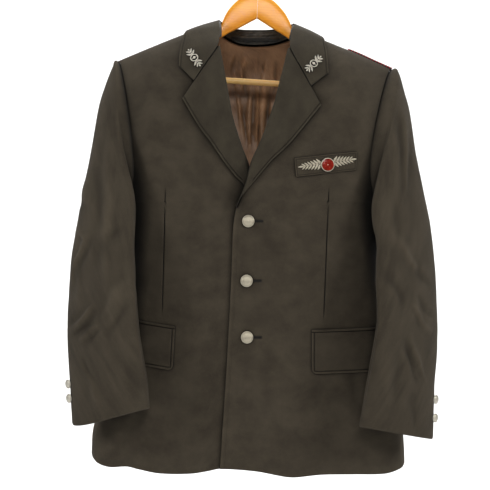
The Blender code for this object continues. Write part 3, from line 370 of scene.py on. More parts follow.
def depth(across, height, facing):
    middle, half, front, back = ring(height)
    share = np.minimum(1.0, np.abs(across - middle) / half)
    side = (1 - share**RING_POWER) ** (1 / RING_POWER)
    below = np.clip((read(SHOULDER, across) - height) / SHOULDER_DROP, 0.0, 1.0)
    return np.where(facing < 0, front, back) * side * np.sqrt(1 - (1 - below) ** 2)


def body_normal(across, height, facing):
    step = 0.3
    along_x = (depth(across + step, height, facing) - depth(across - step, height, facing)) / (2 * step)
    along_h = (depth(across, height + step, facing) - depth(across, height - step, facing)) / (2 * step)
    return unit(points(-along_x, facing, -along_h))


def on_body(across, height, facing, lift=0.0):
    """Points on the body's outer face, moved out by the lift."""
    lift = np.asarray(lift, float)[..., None]
    face = points(across, facing * depth(across, height, facing), height)
    return face + body_normal(across, height, facing) * lift


def angle_of(across, height):
    middle, half, _, _ = ring(height)
    share = np.minimum(1.0, np.abs(across - middle) / half)
    return np.degrees(np.arcsin(share ** (RING_POWER / 2))) * np.where(across >= middle, 1, -1)


def across_at(angle, height):
    middle, half, _, _ = ring(height)
    return middle + np.sign(angle) * half * np.abs(np.sin(np.radians(angle))) ** (2 / RING_POWER)


def armhole(side, turn):
    """The armhole seam: its ring angle and height, at a turn from 0 on the shoulder to 180 at the armpit."""
    cosine, sine = np.cos(np.radians(turn)), np.sin(np.radians(turn))
    height = between(SHOULDER_POINT[side], ARMPIT, (1 - cosine) / 2)
    dip = ARMHOLE_DIP[side] * np.abs(sine) * (1 - ARMHOLE_LOW * cosine)
    share = between(ARMHOLE_TOP_SHARE, 1.0, (1 - cosine) / 2) - dip
    return np.degrees(np.arcsin(np.clip(share, 0, 1) ** (RING_POWER / 2))), height


def front_sink(side, across, height):
    """How far the under front lies behind the face of the upper one where they overlap."""
    if side == LEFT:
        return np.zeros(np.shape(across))
    overlap = ease((across + 105) / 40)
    reach = np.hypot((across - SINK_MIDDLE[0]) / SINK_REACH[0], (height - SINK_MIDDLE[1]) / SINK_REACH[1])
    return UNDER_SINK * overlap * ease((560 - height) / 60) + LAPEL_SINK * (1 - ease(reach))


def on_front(side, across, height, lift=0.0):
    return on_body(across, height, -1, lift - front_sink(side, across, height))


def hem_shift(across, v, facing):
    level = read(HEM_LINE, across)
    middle, half, _, _ = ring(HEM)
    back = between(BACK_HEM, level, np.minimum(1.0, np.abs(across - middle) / half) ** 8)
    return (np.where(facing > 0, back, level) - HEM) * (1 - ease(v / 0.12))


def side_angle(height):
    return between(SIDE_SEAM_ANGLE, 90.0, ease(height / ARMPIT))


def panel_rows(side, v):
    """For rows of a body panel: whether a row is below the armpit, its share up, and its armhole end."""
    low = v <= 0.5
    share = np.clip(v / 0.5, 0, 1)
    angle, height = armhole(side, 180 * (1 - np.clip((v - 0.5) / 0.5, 0, 1)))
    return low, share, angle, height, (height - ARMPIT) / (SHOULDER_POINT[side] - ARMPIT)


def front_surface(side, u, v):
    low, share, angle, top_out, top_share = panel_rows(side, v)
    upper = between(ARMPIT + 8, NECK_POINT[side][1], top_share)
    height_in = np.where(low, between(HEM, ARMPIT + 8, share), upper)
    height_out = np.where(low, between(HEM, ARMPIT, share), top_out)
    angle_out = side * np.where(low, side_angle(height_out), angle)
    angle = between(angle_of(read(EDGE[side], height_in), height_in), angle_out, u)
    height = between(height_in, height_out, u)
    across = across_at(angle, height)
    straight = between(NECK_POINT[side][1], SHOULDER_POINT[side], u)
    height = height + (read(SHOULDER, across) - straight) * ease((v - 0.7) / 0.3)
    height = height + hem_shift(across, v, -1)
    return on_front(side, across, height)


def back_surface(side, u, v, inset=0.0):
    low, share, angle, top_out, top_share = panel_rows(side, v)
    height_in = np.where(low, between(HEM, ARMPIT, share), between(ARMPIT, BACK_NECK_HEIGHT, top_share))
    height_out = np.where(low, between(HEM, ARMPIT, share), top_out)
    angle_out = np.where(low, 180 - side_angle(height_out), angle)
    neck_across, neck_height = NECK_POINT[side]
    angle_neck = np.abs(angle_of(neck_across, between(height_in, height_out, 0.3)))
    angle_neck = np.minimum(angle_neck, angle_out * 0.5)
    inside = u <= BACK_NECK_SHARE
    angle = np.where(
        inside, angle_neck * u / BACK_NECK_SHARE,
        between(angle_neck, angle_out, (u - BACK_NECK_SHARE) / (1 - BACK_NECK_SHARE)),
    )
    height = between(height_in, height_out, u)
    facing = np.where(angle <= 90, 1, -1)
    middle, half, _, _ = ring(height)
    across = middle + side * half * np.abs(np.sin(np.radians(angle))) ** (2 / RING_POWER)
    neck_top = between(BACK_NECK_HEIGHT, neck_height, ease(np.minimum(u / BACK_NECK_SHARE, 1)) ** 1.3)
    top = np.where(inside, neck_top, read(SHOULDER, across))
    height = height + (top - between(BACK_NECK_HEIGHT, SHOULDER_POINT[side], u)) * ease((v - 0.7) / 0.3)
    height = height + hem_shift(across, v, facing)
    return on_body(across, height, facing, -inset)


def sleeve_surface(side, turn, along, seam_lift=-1.2):
    """Points of a sleeve: turn 0 is the outer end, 90 the front, 180 the inner end and 270 the back."""
    turn = np.asarray(turn, float) % 360
    angle, height = armhole(side, np.where(turn <= 180, turn, 360 - turn))
    angle = side * np.where(turn <= 180, angle, 180 - angle)
    across = across_at(angle, height)
    seam = on_body(across, height, np.where(np.abs(angle) <= 90, -1, 1), seam_lift)
    cosine, sine = np.cos(np.radians(turn)), np.sin(np.radians(turn))
    stations = [seam]
    for out_x, out_y, out_h, in_x, in_y, in_h, front, back, swing, lap in SLEEVE[side]:
        outer, inner = np.array((out_x, out_y, out_h), float), np.array((in_x, in_y, in_h), float)
        swing = math.radians(swing)
        forward = np.array((side * math.sin(swing), -math.cos(swing), 0.0))
        station = (outer + inner) / 2 + (outer - inner) / 2 * cosine[:, None]
        station = station + forward * (np.where(sine > 0, front, back) * sine)[:, None]
        lap = lap * np.maximum(0.0, sine) * (1 - cosine) / 1.3
        stations.append(station - lap[:, None] * np.array((side, LAP_FORWARD, 0.0)))
    spots = curve_through(np.array(stations), np.asarray(along) * (len(stations) - 1))
    dip = CUFF_DIP[side] * ease((np.asarray(along) - CUFF_DIP_FROM) / (1 - CUFF_DIP_FROM))
    spots[..., 2] -= dip[:, None] * np.maximum(0.0, sine) * (1 + cosine) / 1.3
    return spots


def sleeve_middle(side, along, seam_lift=-1.2):
    """The points midway between the front and the back of a sleeve."""
    return sleeve_surface(side, np.array((90.0, 270.0)), along, seam_lift).mean(axis=1)


def lapel_ends(side, u):
    outline = LAPEL_EDGE[side]
    roll_height = between(BREAK[side], GORGE[side], u)
    edge_height = between(outline[0][0], outline[-1][0], u)
    roll = np.stack([read(EDGE[side], roll_height), roll_height], -1)
    return roll, np.stack([read(outline, edge_height), edge_height], -1)


def lapel_surface(side, u, v):
    """u runs up the lapel, one value a row, and v from inside the roll to the outer edge."""
    past, lift, share = np.moveaxis(curve_through(ROLL, v * (len(ROLL) - 1)), -1, 0)
    roll, edge = lapel_ends(side, u)
    width = np.linalg.norm(edge - roll, axis=-1, keepdims=True)
    out = past * np.minimum(1.0, width / 14) + width * share
    spot = roll[:, None, :] + (edge - roll)[:, None, :] / width[..., None] * out[..., None]
    lift = lift + LAPEL_RISE * share * ease((spot[..., 1] - RISE_FROM) / RISE_OVER)
    return on_front(side, spot[..., 0], spot[..., 1], lift)


def collar_station(side, row):
    gorge, roll_x, roll_y, roll_h, edge_x, edge_h, facing, _ = row
    roll = np.array((roll_x, roll_y, roll_h), float)
    if gorge is not None:
        start, end = (ends[0] for ends in lapel_ends(side, np.array([1.0])))
        line = end - start
        beyond = unit(np.array((-line[1], line[0])) * -side)
        spot = start + line * gorge + beyond * np.sign(beyond[1]) * (SEAM_GAP + 0.5)
        roll = on_front(side, spot[0], spot[1], COLLAR_LIFT["gorge"])
    if facing == 0:
        return roll, np.array((edge_x, 0, edge_h), float)
    return roll, on_body(edge_x, edge_h, facing, COLLAR_LIFT["edge"])


def collar_stations():
    rows = [(RIGHT, row) for row in COLLAR[RIGHT]] + [(LEFT, row) for row in reversed(COLLAR[LEFT][:-1])]
    ends = [collar_station(side, row) for side, row in rows]
    rolls, edges = (np.array(spots) for spots in zip(*ends))
    return rolls, edges, np.array([row[7] for _, row in rows])


def collar_surface(u, v):
    """The fall: u runs round from the seen left notch to the right one, and v down from the roll line."""
    rolls, edges, swells = collar_stations()
    last = len(rolls) - 1
    roll, edge, swell = (curve_through(values, u * last) for values in (rolls, edges, swells))
    low, high = np.maximum(0, u * last - 0.05), np.minimum(last, u * last + 0.05)
    along = curve_through(rolls, high) - curve_through(rolls, low)
    along = along + curve_through(edges, high) - curve_through(edges, low)
    out = unit(np.cross(along, edge - roll))
    bulge = np.sin(np.pi * np.minimum(1.0, v * 0.9 + 0.06))[:, None] * swell
    return between(roll, edge, v[:, None, None]) + out * bulge[..., None], out


def neck_edge(side, share):
    if share <= SHOULDER_SHARE:
        return back_surface(side, np.array(BACK_NECK_SHARE * share / SHOULDER_SHARE), np.array(1.0))
    down = (share - SHOULDER_SHARE) / (1 - SHOULDER_SHARE)
    height = between(NECK_POINT[side][1], GORGE[side] + STAND_END_ABOVE_GORGE, down)
    return on_body(read(EDGE[side], height), height, -1)


def stand_surface(u, v):
    """The stand's inner face: v runs down from the roll line to the neck seam. Both are lists of places."""
    rolls = collar_stations()[0][STAND_FIRST:-STAND_FIRST]
    roll = curve_through(rolls, u * (len(rolls) - 1))
    middle = np.stack([np.zeros(len(u)), np.full(len(u), STAND_CENTRE_Y), roll[:, 2]], -1)
    inwards = unit(middle - roll)
    top = roll + inwards * STAND_INSET - np.array((0, 0, STAND_BELOW_ROLL))
    seam = np.array([neck_edge(RIGHT if place < 0.5 else LEFT, abs(place - 0.5) * 2) for place in u])
    bottom = seam + np.array((0, 0, STAND_ABOVE_SEAM)) + inwards * STAND_IN_AT_SEAM
    return between(top, bottom, v[:, None, None]) + inwards * 1.8, inwards


# Cloth from lattices of points

def creases(places, rows):
    """How far each point of a lattice is raised or sunk by the creases drawn in the seen plane."""
    x, h = places[..., 0], places[..., 2]
    total = np.zeros(x.shape)
    for number, (from_x, from_h, to_x, to_h, width, height, bow) in enumerate(rows):
        run = math.hypot(to_x - from_x, to_h - from_h)
        along = ((x - from_x) * (to_x - from_x) + (h - from_h) * (to_h - from_h)) / run**2
        off = ((x - from_x) * (to_h - from_h) - (h - from_h) * (to_x - from_x)) / run
        off = off - bow * (np.sin(np.pi * np.clip(along, 0, 1)) + 0.3 * np.sin(along * 9 + number))
        near = width * (1 + 0.35 * np.sin(along * 5 + number * 1.7))
        side = np.exp(-((off / near) ** 2)) - 0.4 * np.exp(-(((off - 1.7 * near) / (1.3 * near)) ** 2))
        total += height * side * np.sin(np.pi * np.clip(along, 0, 1)) ** 0.8
    return total


def ripple(places, part, side=0):
    """A soft unevenness of the cloth, as the table of ripples has it for a part."""
    total = np.zeros(places.shape[:-1])
    for height, pitch, seed in RIPPLES[part]:
        flat = places.reshape(-1, 3) / pitch + (seed + side) * SEED_STEP
        values = [noise.noise(Vector(spot)) for spot in flat]
        total += height * np.array(values).reshape(total.shape)
    return total


def lattice_normals(places, away_from):
    around, up = np.gradient(places, axis=1), np.gradient(places, axis=0)
    normals = unit(np.cross(around, up))
    outward = np.sum(normals * (places - np.array(away_from, float)))
    return normals if outward > 0 else -normals


def soft_line(gaps, width, middle=0.0):
    """1 along a line at a distance from the edge, fading to both sides."""
    return np.exp(-(((gaps - middle) / width) ** 2))


def fold_in(gaps, radius=EDGE_FOLD):
    """How far a turned edge drops, for the distances from it."""
    gap = np.clip(1 - gaps / radius, 0, 1)
    return -radius * (1 - np.sqrt(1 - gap**2))


def stitched(gaps):
    """The line of a swelled edge, for the distances from the edge."""
    return -STITCH_DEPTH * soft_line(gaps, STITCH_WIDTH, STITCH_INSET)


def place_points(vectors):
    return (vectors - np.array((0, 0, HOOK_HEIGHT))) * METRES


def new_verts(made):
    return [item for item in made["geom"] if isinstance(item, bmesh.types.BMVert)]


def named(stem, side):
    """The names of a piece of cloth that has one on each side, and of the node that it replaces."""
    return f"{stem}_cloth_{WORD[side]}", f"{stem}_{WORD[side]}"


def cloth(names, outer, thickness, away_from, sides, relief, painted_light=0.0):
    """A cloth piece from a lattice of outer points, raised by its relief, with its own cloth map.

    Its names are its own and its node's, and its sides the materials of its outer and inner face.
    Its painted light, given per point, darkens the troughs with painted shade (below 0) and lightens the
    ridges and edges with a painted highlight (above 0).
    """
    name, node = names
    normals = lattice_normals(outer, away_from)
    raised = outer + normals * relief[..., None]
    backs = raised - normals * thickness
    rows, columns = outer.shape[:2]
    mesh = bpy.data.meshes.new(name)
    shape = bmesh.new()
    bmesh.ops.create_grid(shape, x_segments=columns - 1, y_segments=rows - 1, size=0.5)
    made = bmesh.ops.extrude_face_region(shape, geom=shape.faces[:], use_keep_orig=True)
    bmesh.ops.translate(shape, verts=new_verts(made), vec=(0, 0, -1))
    bmesh.ops.recalc_face_normals(shape, faces=shape.faces)
    crossed = np.cross(np.gradient(outer, axis=1), np.gradient(outer, axis=0))
    if np.sum(crossed * normals) < 0:
        bmesh.ops.reverse_faces(shape, faces=shape.faces)
    shape.loops.layers.uv.new("cloth")
    shape.to_mesh(mesh)
    shape.free()
    spots = np.empty(len(mesh.vertices) * 3)
    mesh.vertices.foreach_get("co", spots)
    spots = spots.reshape(-1, 3)
    column = np.rint((spots[:, 0] + 0.5) * (columns - 1)).astype(int)
    row = np.rint((spots[:, 1] + 0.5) * (rows - 1)).astype(int)
    beneath = spots[:, 2] < -0.5
    spots = np.where(beneath[:, None], backs[row, column], raised[row, column])
    mesh.vertices.foreach_set("co", place_points(spots).ravel())
    # Painted light per point: below 0 painted shade, above 0 painted highlight.
    wear_and_painted_light = np.broadcast_to(np.asarray(painted_light, np.float32), (rows, columns))[row, column]
    mesh.attributes.new("wear_and_painted_light", "FLOAT", "POINT").data.foreach_set("value", wear_and_painted_light)
    across = np.zeros((rows, columns))
    across[:, 1:] = np.cumsum(size_of(np.diff(outer, axis=1)), axis=1)
    up = np.zeros((rows, columns))
    up[1:] = np.cumsum(size_of(np.diff(outer, axis=0)), axis=0)
    corner = np.empty(len(mesh.loops), np.int32)
    mesh.loops.foreach_get("vertex_index", corner)
    # Each piece is cut from another place of the cloth, so no two show the same mottling.
    maps = np.stack([across, up], -1)[row[corner], column[corner]] * METRES + len(name) * CLOTH_SHIFT
    mesh.uv_layers["cloth"].data.foreach_set("uv", maps.ravel())
    piece = finish(name, mesh, sides, [node])
    if len(sides) > 1:
        inner_face = beneath[corner.reshape(-1, 4)].all(axis=1)
        mesh.polygons.foreach_set("material_index", inner_face.astype(np.int32))
    # The cut: the piece's own size before its creases, laid flat.
    width, length = float(across.max()) * METRES, float(up.max()) * METRES
    area = float(size_of(crossed).sum()) * METRES**2
    # Strips under 10 mm wide keep their area as it is; wider pieces have it held between a share of their
    # flat size and the whole of it.
    if min(width, length) >= SHEET_WIDTH:
        area = min(max(area, SHEET_SHARE * width * length), width * length)
    return piece


def finish(name, mesh, materials, nodes):
    mesh.validate()
    mesh.shade_smooth()
    mesh.set_sharp_from_angle(angle=math.radians(60))
    for material in materials:
        mesh.materials.append(material)
    piece = bpy.data.objects.new(name, mesh)
    bpy.context.scene.collection.objects.link(piece)
    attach(piece, "root")
    if nodes:
        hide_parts(*nodes)
    return piece


def places_along(count, width, near=EDGE_PLACES, far=()):
    """Places from 0 to 1 for each row's width.

    Near and far are distances from the ends, with even steps between them.
    """
    width = np.asarray(width, float)[:, None]
    first, last = near[-1] if near else 0.0, width - (far[-1] if far else 0.0)
    middle = first + (last - first) * np.linspace(0, 1, count)[None, :]
    parts = [np.broadcast_to(np.array(near[:-1], float), (len(width), max(len(near) - 1, 0))), middle]
    parts.append(width - np.array(far[:-1][::-1], float) if far else np.empty((len(width), 0)))
    return np.concatenate(parts, axis=1) / width


# Materials

def add(tree, kind, inputs=(), **settings):
    """A shader node, with its settings and its inputs: a socket is linked and a value is set."""
    made = tree.nodes.new(kind)
    for key, value in settings.items():
        setattr(made, key, value)
    for key, value in dict(inputs).items():
        if isinstance(value, bpy.types.NodeSocket):
            tree.links.new(value, made.inputs[key])
        else:
            made.inputs[key].default_value = value
    return made


def maths(tree, operation, first, second=0.0, third=0.0):
    return add(tree, "ShaderNodeMath", {0: first, 1: second, 2: third}, operation=operation).outputs[0]


def scaled_axes(tree, split, *scales):
    return [maths(tree, "MULTIPLY", split.outputs[axis], scale) for axis, scale in enumerate(scales)]


def blend_colours(tree, factor, first, second, mode="MIX"):
    made = add(tree, "ShaderNodeMix", {0: factor, 6: first, 7: second}, data_type="RGBA", blend_type=mode)
    return made.outputs[2]


def spread(tree, value, low, high, to_low=0.0, to_high=1.0):
    sockets = {"Value": value, "From Min": low, "From Max": high, "To Min": to_low, "To Max": to_high}
    return add(tree, "ShaderNodeMapRange", sockets).outputs[0]


def speckle(tree, place, scale, detail=2.0, roughness=0.5):
    sockets = {"Vector": place, "Scale": scale, "Detail": detail, "Roughness": roughness}
    return add(tree, "ShaderNodeTexNoise", sockets).outputs["Fac"]


def new_group(name, inputs, outputs):
    tree = bpy.data.node_groups.new(name, "ShaderNodeTree")
    for direction, sockets in (("INPUT", inputs), ("OUTPUT", outputs)):
        for socket, kind, value in sockets:
            made = tree.interface.new_socket(socket, in_out=direction, socket_type="NodeSocket" + kind)
            if value is not None:
                made.default_value = value
    return tree, tree.nodes.new("NodeGroupInput").outputs, tree.nodes.new("NodeGroupOutput").inputs


def twill_group():
    """Diagonal twill ribs of spun yarn, with flecks of lighter fibre, in metres on the cloth map."""
    tree, given, result = new_group(
        "twill_weave",
        (("Place", "Vector", None), ("Dark", "Color", (0, 0, 0, 1)), ("Light", "Color", (1, 1, 1, 1)),
         ("Pitch", "Float", 1.2)),
        (("Color", "Color", None), ("Roughness", "Float", None), ("Height", "Float", None)),
    )
    split = add(tree, "ShaderNodeSeparateXYZ", {0: given["Place"]})
    wander = spread(tree, speckle(tree, given["Place"], 900.0), 0.3, 0.7, -0.16, 0.16)
    diagonal = maths(tree, "ADD", *scaled_axes(tree, split, 1000.0, 1650.0))
    turns = maths(tree, "ADD", maths(tree, "DIVIDE", diagonal, given["Pitch"]), wander)
    rib = maths(tree, "SINE", maths(tree, "MULTIPLY", turns, math.pi * 2))
    across = maths(tree, "SINE", maths(tree, "MULTIPLY", split.outputs[0], 1000.0 * math.pi * 2 / 0.62))
    weave = maths(tree, "MULTIPLY_ADD", across, 0.35, rib)
    fibre = speckle(tree, given["Place"], 1500.0, 4.0, 0.7)
    patch = speckle(tree, given["Place"], 26.0, 4.0, 0.6)
    fleck = spread(tree, speckle(tree, given["Place"], 620.0, 2.0, 0.6), 0.56, 0.74)
    shade = maths(tree, "MULTIPLY_ADD", weave, 0.14, 0.42)
    shade = maths(tree, "MULTIPLY_ADD", spread(tree, fibre, 0.3, 0.7, -0.5, 0.5), 0.55, shade)
    shade = maths(tree, "MULTIPLY_ADD", spread(tree, patch, 0.3, 0.7, -0.5, 0.5), 0.45, shade)
    shade = maths(tree, "MULTIPLY_ADD", fleck, 0.35, shade)
    tree.links.new(blend_colours(tree, shade, given["Dark"], given["Light"]), result["Color"])
    tree.links.new(spread(tree, patch, 0.3, 0.7, 0.78, 0.9), result["Roughness"])
    height = maths(tree, "MULTIPLY_ADD", fibre, 1.2, maths(tree, "MULTIPLY", weave, 0.5))
    tree.links.new(height, result["Height"])
    return tree


def mottle_group():
    """Uneven grain: its mask, and a roughness that follows it from Smooth to Rough."""
    tree, given, result = new_group(
        "mottle",
        (("Place", "Vector", None), ("Scale", "Float", 100.0), ("Detail", "Float", 3.0),
         ("Fineness", "Float", 0.5), ("Smooth", "Float", 0.4), ("Rough", "Float", 0.6)),
        (("Mask", "Float", None), ("Roughness", "Float", None)),
    )
    mask = speckle(tree, given["Place"], given["Scale"], given["Detail"], given["Fineness"])
    tree.links.new(mask, result["Mask"])
    tree.links.new(spread(tree, mask, 0.3, 0.7, given["Smooth"], given["Rough"]), result["Roughness"])
    return tree


def hollow_shade_group():
    """A painted-shade mask from ambient occlusion: Deep in hollows narrower than Distance and under laps, and
    1 on open faces.
    """
    tree, given, result = new_group(
        "hollow_shade_mask",
        (("Distance", "Float", 0.01), ("Closed", "Float", 0.45), ("Open", "Float", 0.92),
         ("Deep", "Float", 0.0)),
        (("Mask", "Float", None),),
    )
    seen = add(tree, "ShaderNodeAmbientOcclusion", {"Distance": given["Distance"]}, samples=8).outputs["AO"]
    tree.links.new(spread(tree, seen, given["Closed"], given["Open"], given["Deep"], 1.0), result["Mask"])
    return tree


def painted_light_group():
    """The colour, down to Low where painted shade darkens it and up to High where a painted highlight
    lightens it.
    """
    tree, given, result = new_group(
        "painted_light_shading",
        (("Color", "Color", (1, 1, 1, 1)), ("Worn", "Float", 0.0), ("Low", "Float", 0.3),
         ("High", "Float", 1.7)),
        (("Color", "Color", None),),
    )
    share = spread(tree, given["Worn"], -1.0, 1.0, given["Low"], given["High"])
    tree.links.new(blend_colours(tree, 1.0, given["Color"], share, "MULTIPLY"), result["Color"])
    return tree


def place_group(tree, group, **inputs):
    """A shared effect placed in a material with the material's own values, as its outputs."""
    return add(tree, "ShaderNodeGroup", inputs, node_tree=group).outputs


def new_material(name, metallic=0.0, roughness=0.5, sheen=0.0, coat=0.0, specular=0.5):
    material = bpy.data.materials.new(name)
    material.use_nodes = True
    shader = material.node_tree.nodes["Principled BSDF"]
    shader.inputs["Metallic"].default_value = metallic
    shader.inputs["Roughness"].default_value = roughness
    shader.inputs["Specular IOR Level"].default_value = specular
    shader.inputs["Sheen Weight"].default_value = sheen
    shader.inputs["Sheen Roughness"].default_value = 0.45
    shader.inputs["Coat Weight"].default_value = coat
    shader.inputs["Coat Roughness"].default_value = 0.12
    return material, material.node_tree, shader.inputs


def cloth_place(tree):
    return add(tree, "ShaderNodeUVMap", uv_map="cloth").outputs[0]


def with_painted_light(tree, colour, low, high):
    """The colour, with painted shade where the cloth's point attribute is below 0 and a painted highlight
    where it is above 0.
    """
    wear_and_painted_light = add(tree, "ShaderNodeAttribute", attribute_name="wear_and_painted_light").outputs["Fac"]
    return place_group(tree, PAINTED_LIGHT, Color=colour, Worn=wear_and_painted_light, Low=low, High=high)["Color"]


def bumped(tree, inputs, height, strength, distance):
    bump = add(tree, "ShaderNodeBump", {"Height": height, "Strength": strength, "Distance": distance})
    tree.links.new(bump.outputs[0], inputs["Normal"])


def dressed(tree, inputs, shade, dark, light, roughness, bump=None):
    """Links a colour between dark and light, a roughness, and a bump of (height, strength, distance)."""
    tree.links.new(blend_colours(tree, shade, (*dark, 1), (*light, 1)), inputs["Base Color"])
    tree.links.new(roughness, inputs["Roughness"])
    if bump:
        bumped(tree, inputs, *bump)


def object_place(tree):
    return add(tree, "ShaderNodeTexCoord").outputs["Object"]


def serge(name, dark, light, group):
    material, tree, inputs = new_material(name, roughness=0.85, sheen=0.04, specular=0.2)
    weave = add(tree, "ShaderNodeGroup", {}, node_tree=group)
    tree.links.new(cloth_place(tree), weave.inputs["Place"])
    weave.inputs["Dark"].default_value = (*dark, 1)
    weave.inputs["Light"].default_value = (*light, 1)
    # Wear and lint lighten the cloth in soft patches over the whole garment.
    wear_and_painted_light = spread(tree, speckle(tree, object_place(tree), 7.0, 3.0), 0.42, 0.66, 0.0, 0.16)
    colour = blend_colours(tree, wear_and_painted_light, weave.outputs["Color"], (*light, 1))
    # Painted shade: the cloth is darkened under the laps, beside the sleeves and in narrow hollows, as the
    # occlusion mask says.
    painted_shade = place_group(tree, HOLLOW_SHADE, Distance=0.032, Closed=0.45, Open=0.94, Deep=0.10)["Mask"]
    colour = blend_colours(tree, 1.0, colour, painted_shade, "MULTIPLY")
    # Painted shade in the troughs and seams and a painted highlight on the ridges and edges, from the cloth's
    # point attribute.
    tree.links.new(with_painted_light(tree, colour, 0.35, 1.65), inputs["Base Color"])
    tree.links.new(weave.outputs["Roughness"], inputs["Roughness"])
    bumped(tree, inputs, weave.outputs["Height"], 0.55, 0.0004)
    return material


def satin(name, dark, light):
    material, tree, inputs = new_material(name, roughness=0.42, sheen=0.06, specular=0.4)
    place = cloth_place(tree)
    split = add(tree, "ShaderNodeSeparateXYZ", {0: place})
    threads = add(tree, "ShaderNodeCombineXYZ", dict(enumerate(scaled_axes(tree, split, 2200.0, 90.0))))
    spun = place_group(tree, MOTTLE, Place=threads.outputs[0], Scale=1.0, Detail=2.0, Smooth=0.34, Rough=0.5)
    grain = spun["Mask"]
    cloud = speckle(tree, place, 22.0, 3.0)
    shade = maths(tree, "MULTIPLY_ADD", grain, 0.5, maths(tree, "MULTIPLY", cloud, 0.5))
    colour = blend_colours(tree, spread(tree, shade, 0.32, 0.68), (*dark, 1), (*light, 1))
    # Painted shade in the crease troughs and a painted highlight on their ridges, from the cloth's point
    # attribute.
    tree.links.new(with_painted_light(tree, colour, 0.25, 1.75), inputs["Base Color"])
    tree.links.new(spun["Roughness"], inputs["Roughness"])
    bumped(tree, inputs, grain, 0.25, 0.0003)
    return material


def ribbed(name, dark, light, pitch, roughness=0.6):
    """A narrow woven band, with ribs across it."""
    material, tree, inputs = new_material(name, roughness=roughness, sheen=0.1, specular=0.45)
    place = cloth_place(tree)
    split = add(tree, "ShaderNodeSeparateXYZ", {0: place})
    rib = maths(tree, "SINE", maths(tree, "MULTIPLY", split.outputs[0], 2000.0 * math.pi / pitch))
    wear_and_painted_light = place_group(tree, MOTTLE, Place=place, Scale=120.0, Smooth=roughness - 0.12, Rough=roughness + 0.1)
    cloud = wear_and_painted_light["Mask"]
    shade = maths(tree, "MULTIPLY_ADD", rib, 0.22, spread(tree, cloud, 0.3, 0.7))
    height = maths(tree, "MULTIPLY_ADD", cloud, 2.0, rib)
    dressed(tree, inputs, shade, dark, light, wear_and_painted_light["Roughness"], (height, 0.5, 0.0005))
    return material


def metal(name, bright, dull, metallic=1.0, roughness=0.32):
    """Silvered metal with wear: bright on the raised parts, and darker in the hollows by painted shade."""
    material, tree, inputs = new_material(name, metallic=metallic, roughness=roughness)
    place = object_place(tree)
    # Painted shade in the hollows, from the occlusion mask.
    hollow = place_group(tree, HOLLOW_SHADE, Distance=0.003)["Mask"]
    wear_and_painted_light = place_group(
        tree, MOTTLE, Place=place, Scale=420.0, Detail=4.0, Fineness=0.6,
        Smooth=roughness - 0.1, Rough=roughness + 0.1,
    )
    tarnish = wear_and_painted_light["Mask"]
    shade = maths(tree, "MULTIPLY", hollow, spread(tree, tarnish, 0.3, 0.7, 0.75, 1.0))
    dressed(tree, inputs, shade, dull, bright, wear_and_painted_light["Roughness"], (tarnish, 0.12, 0.0002))
    return material


def varnished(name, dark, light, roughness, coat, turn):
    """Wood whose grain runs along X, with growth lines, pores and a coat of varnish."""
    material, tree, inputs = new_material(name, roughness=roughness, coat=coat)
    turned_place = {"Vector": object_place(tree), "Rotation": (0, turn, 0), "Scale": (0.12, 1.0, 1.0)}
    place = add(tree, "ShaderNodeMapping", turned_place).outputs[0]
    wander = speckle(tree, place, 30.0, 3.0)
    split = add(tree, "ShaderNodeSeparateXYZ", {0: place})
    rising = maths(tree, "MULTIPLY", split.outputs[2], 1500.0)
    lines = maths(tree, "SINE", maths(tree, "MULTIPLY_ADD", wander, 9.0, rising))
    pores = speckle(tree, place, 900.0, 3.0, 0.6)
    shade = maths(tree, "MULTIPLY_ADD", lines, 0.08, spread(tree, wander, 0.25, 0.75))
    shade = maths(tree, "MULTIPLY_ADD", spread(tree, pores, 0.35, 0.65, -0.5, 0.5), 0.35, shade)
    rough = spread(tree, pores, 0.35, 0.65, roughness - 0.08, roughness + 0.1)
    height = maths(tree, "MULTIPLY_ADD", lines, 0.3, pores)
    dressed(tree, inputs, shade, dark, light, rough, (height, 0.15, 0.0003))
    return material


def enamelled(name, colour, deep):
    material, tree, inputs = new_material(name, roughness=0.3, coat=0.35)
    wear_and_painted_light = place_group(tree, MOTTLE, Place=object_place(tree), Scale=300.0, Smooth=0.14, Rough=0.3)
    cloud = spread(tree, wear_and_painted_light["Mask"], 0.3, 0.7)
    dressed(tree, inputs, cloud, deep, colour, wear_and_painted_light["Roughness"])
    return material


def corded(name, dark, bright, pitch):
    """A dark cord edging with bright dashes along it."""
    material, tree, inputs = new_material(name, roughness=0.75, sheen=0.2, specular=0.3)
    place = cloth_place(tree)
    split = add(tree, "ShaderNodeSeparateXYZ", {0: place})
    run = maths(tree, "MULTIPLY", split.outputs[0], 1000.0)
    slant = maths(tree, "MULTIPLY_ADD", split.outputs[1], 400.0, run)
    dash = maths(tree, "SINE", maths(tree, "MULTIPLY", slant, 2 * math.pi / pitch))
    thread = place_group(tree, MOTTLE, Place=place, Scale=1400.0, Smooth=0.65, Rough=0.85)
    height = maths(tree, "MULTIPLY_ADD", thread["Mask"], 1.5, dash)
    dash = spread(tree, dash, 0.0, 0.3)
    dressed(tree, inputs, dash, dark, bright, thread["Roughness"], (height, 0.7, 0.0008))
    return material


def shadowed(name, dark, light):
    material, tree, inputs = new_material(name, roughness=0.95, specular=0.05)
    cloud = speckle(tree, object_place(tree), 900.0)
    tree.links.new(blend_colours(tree, cloud, (*dark, 1), (*light, 1)), inputs["Base Color"])
    return material


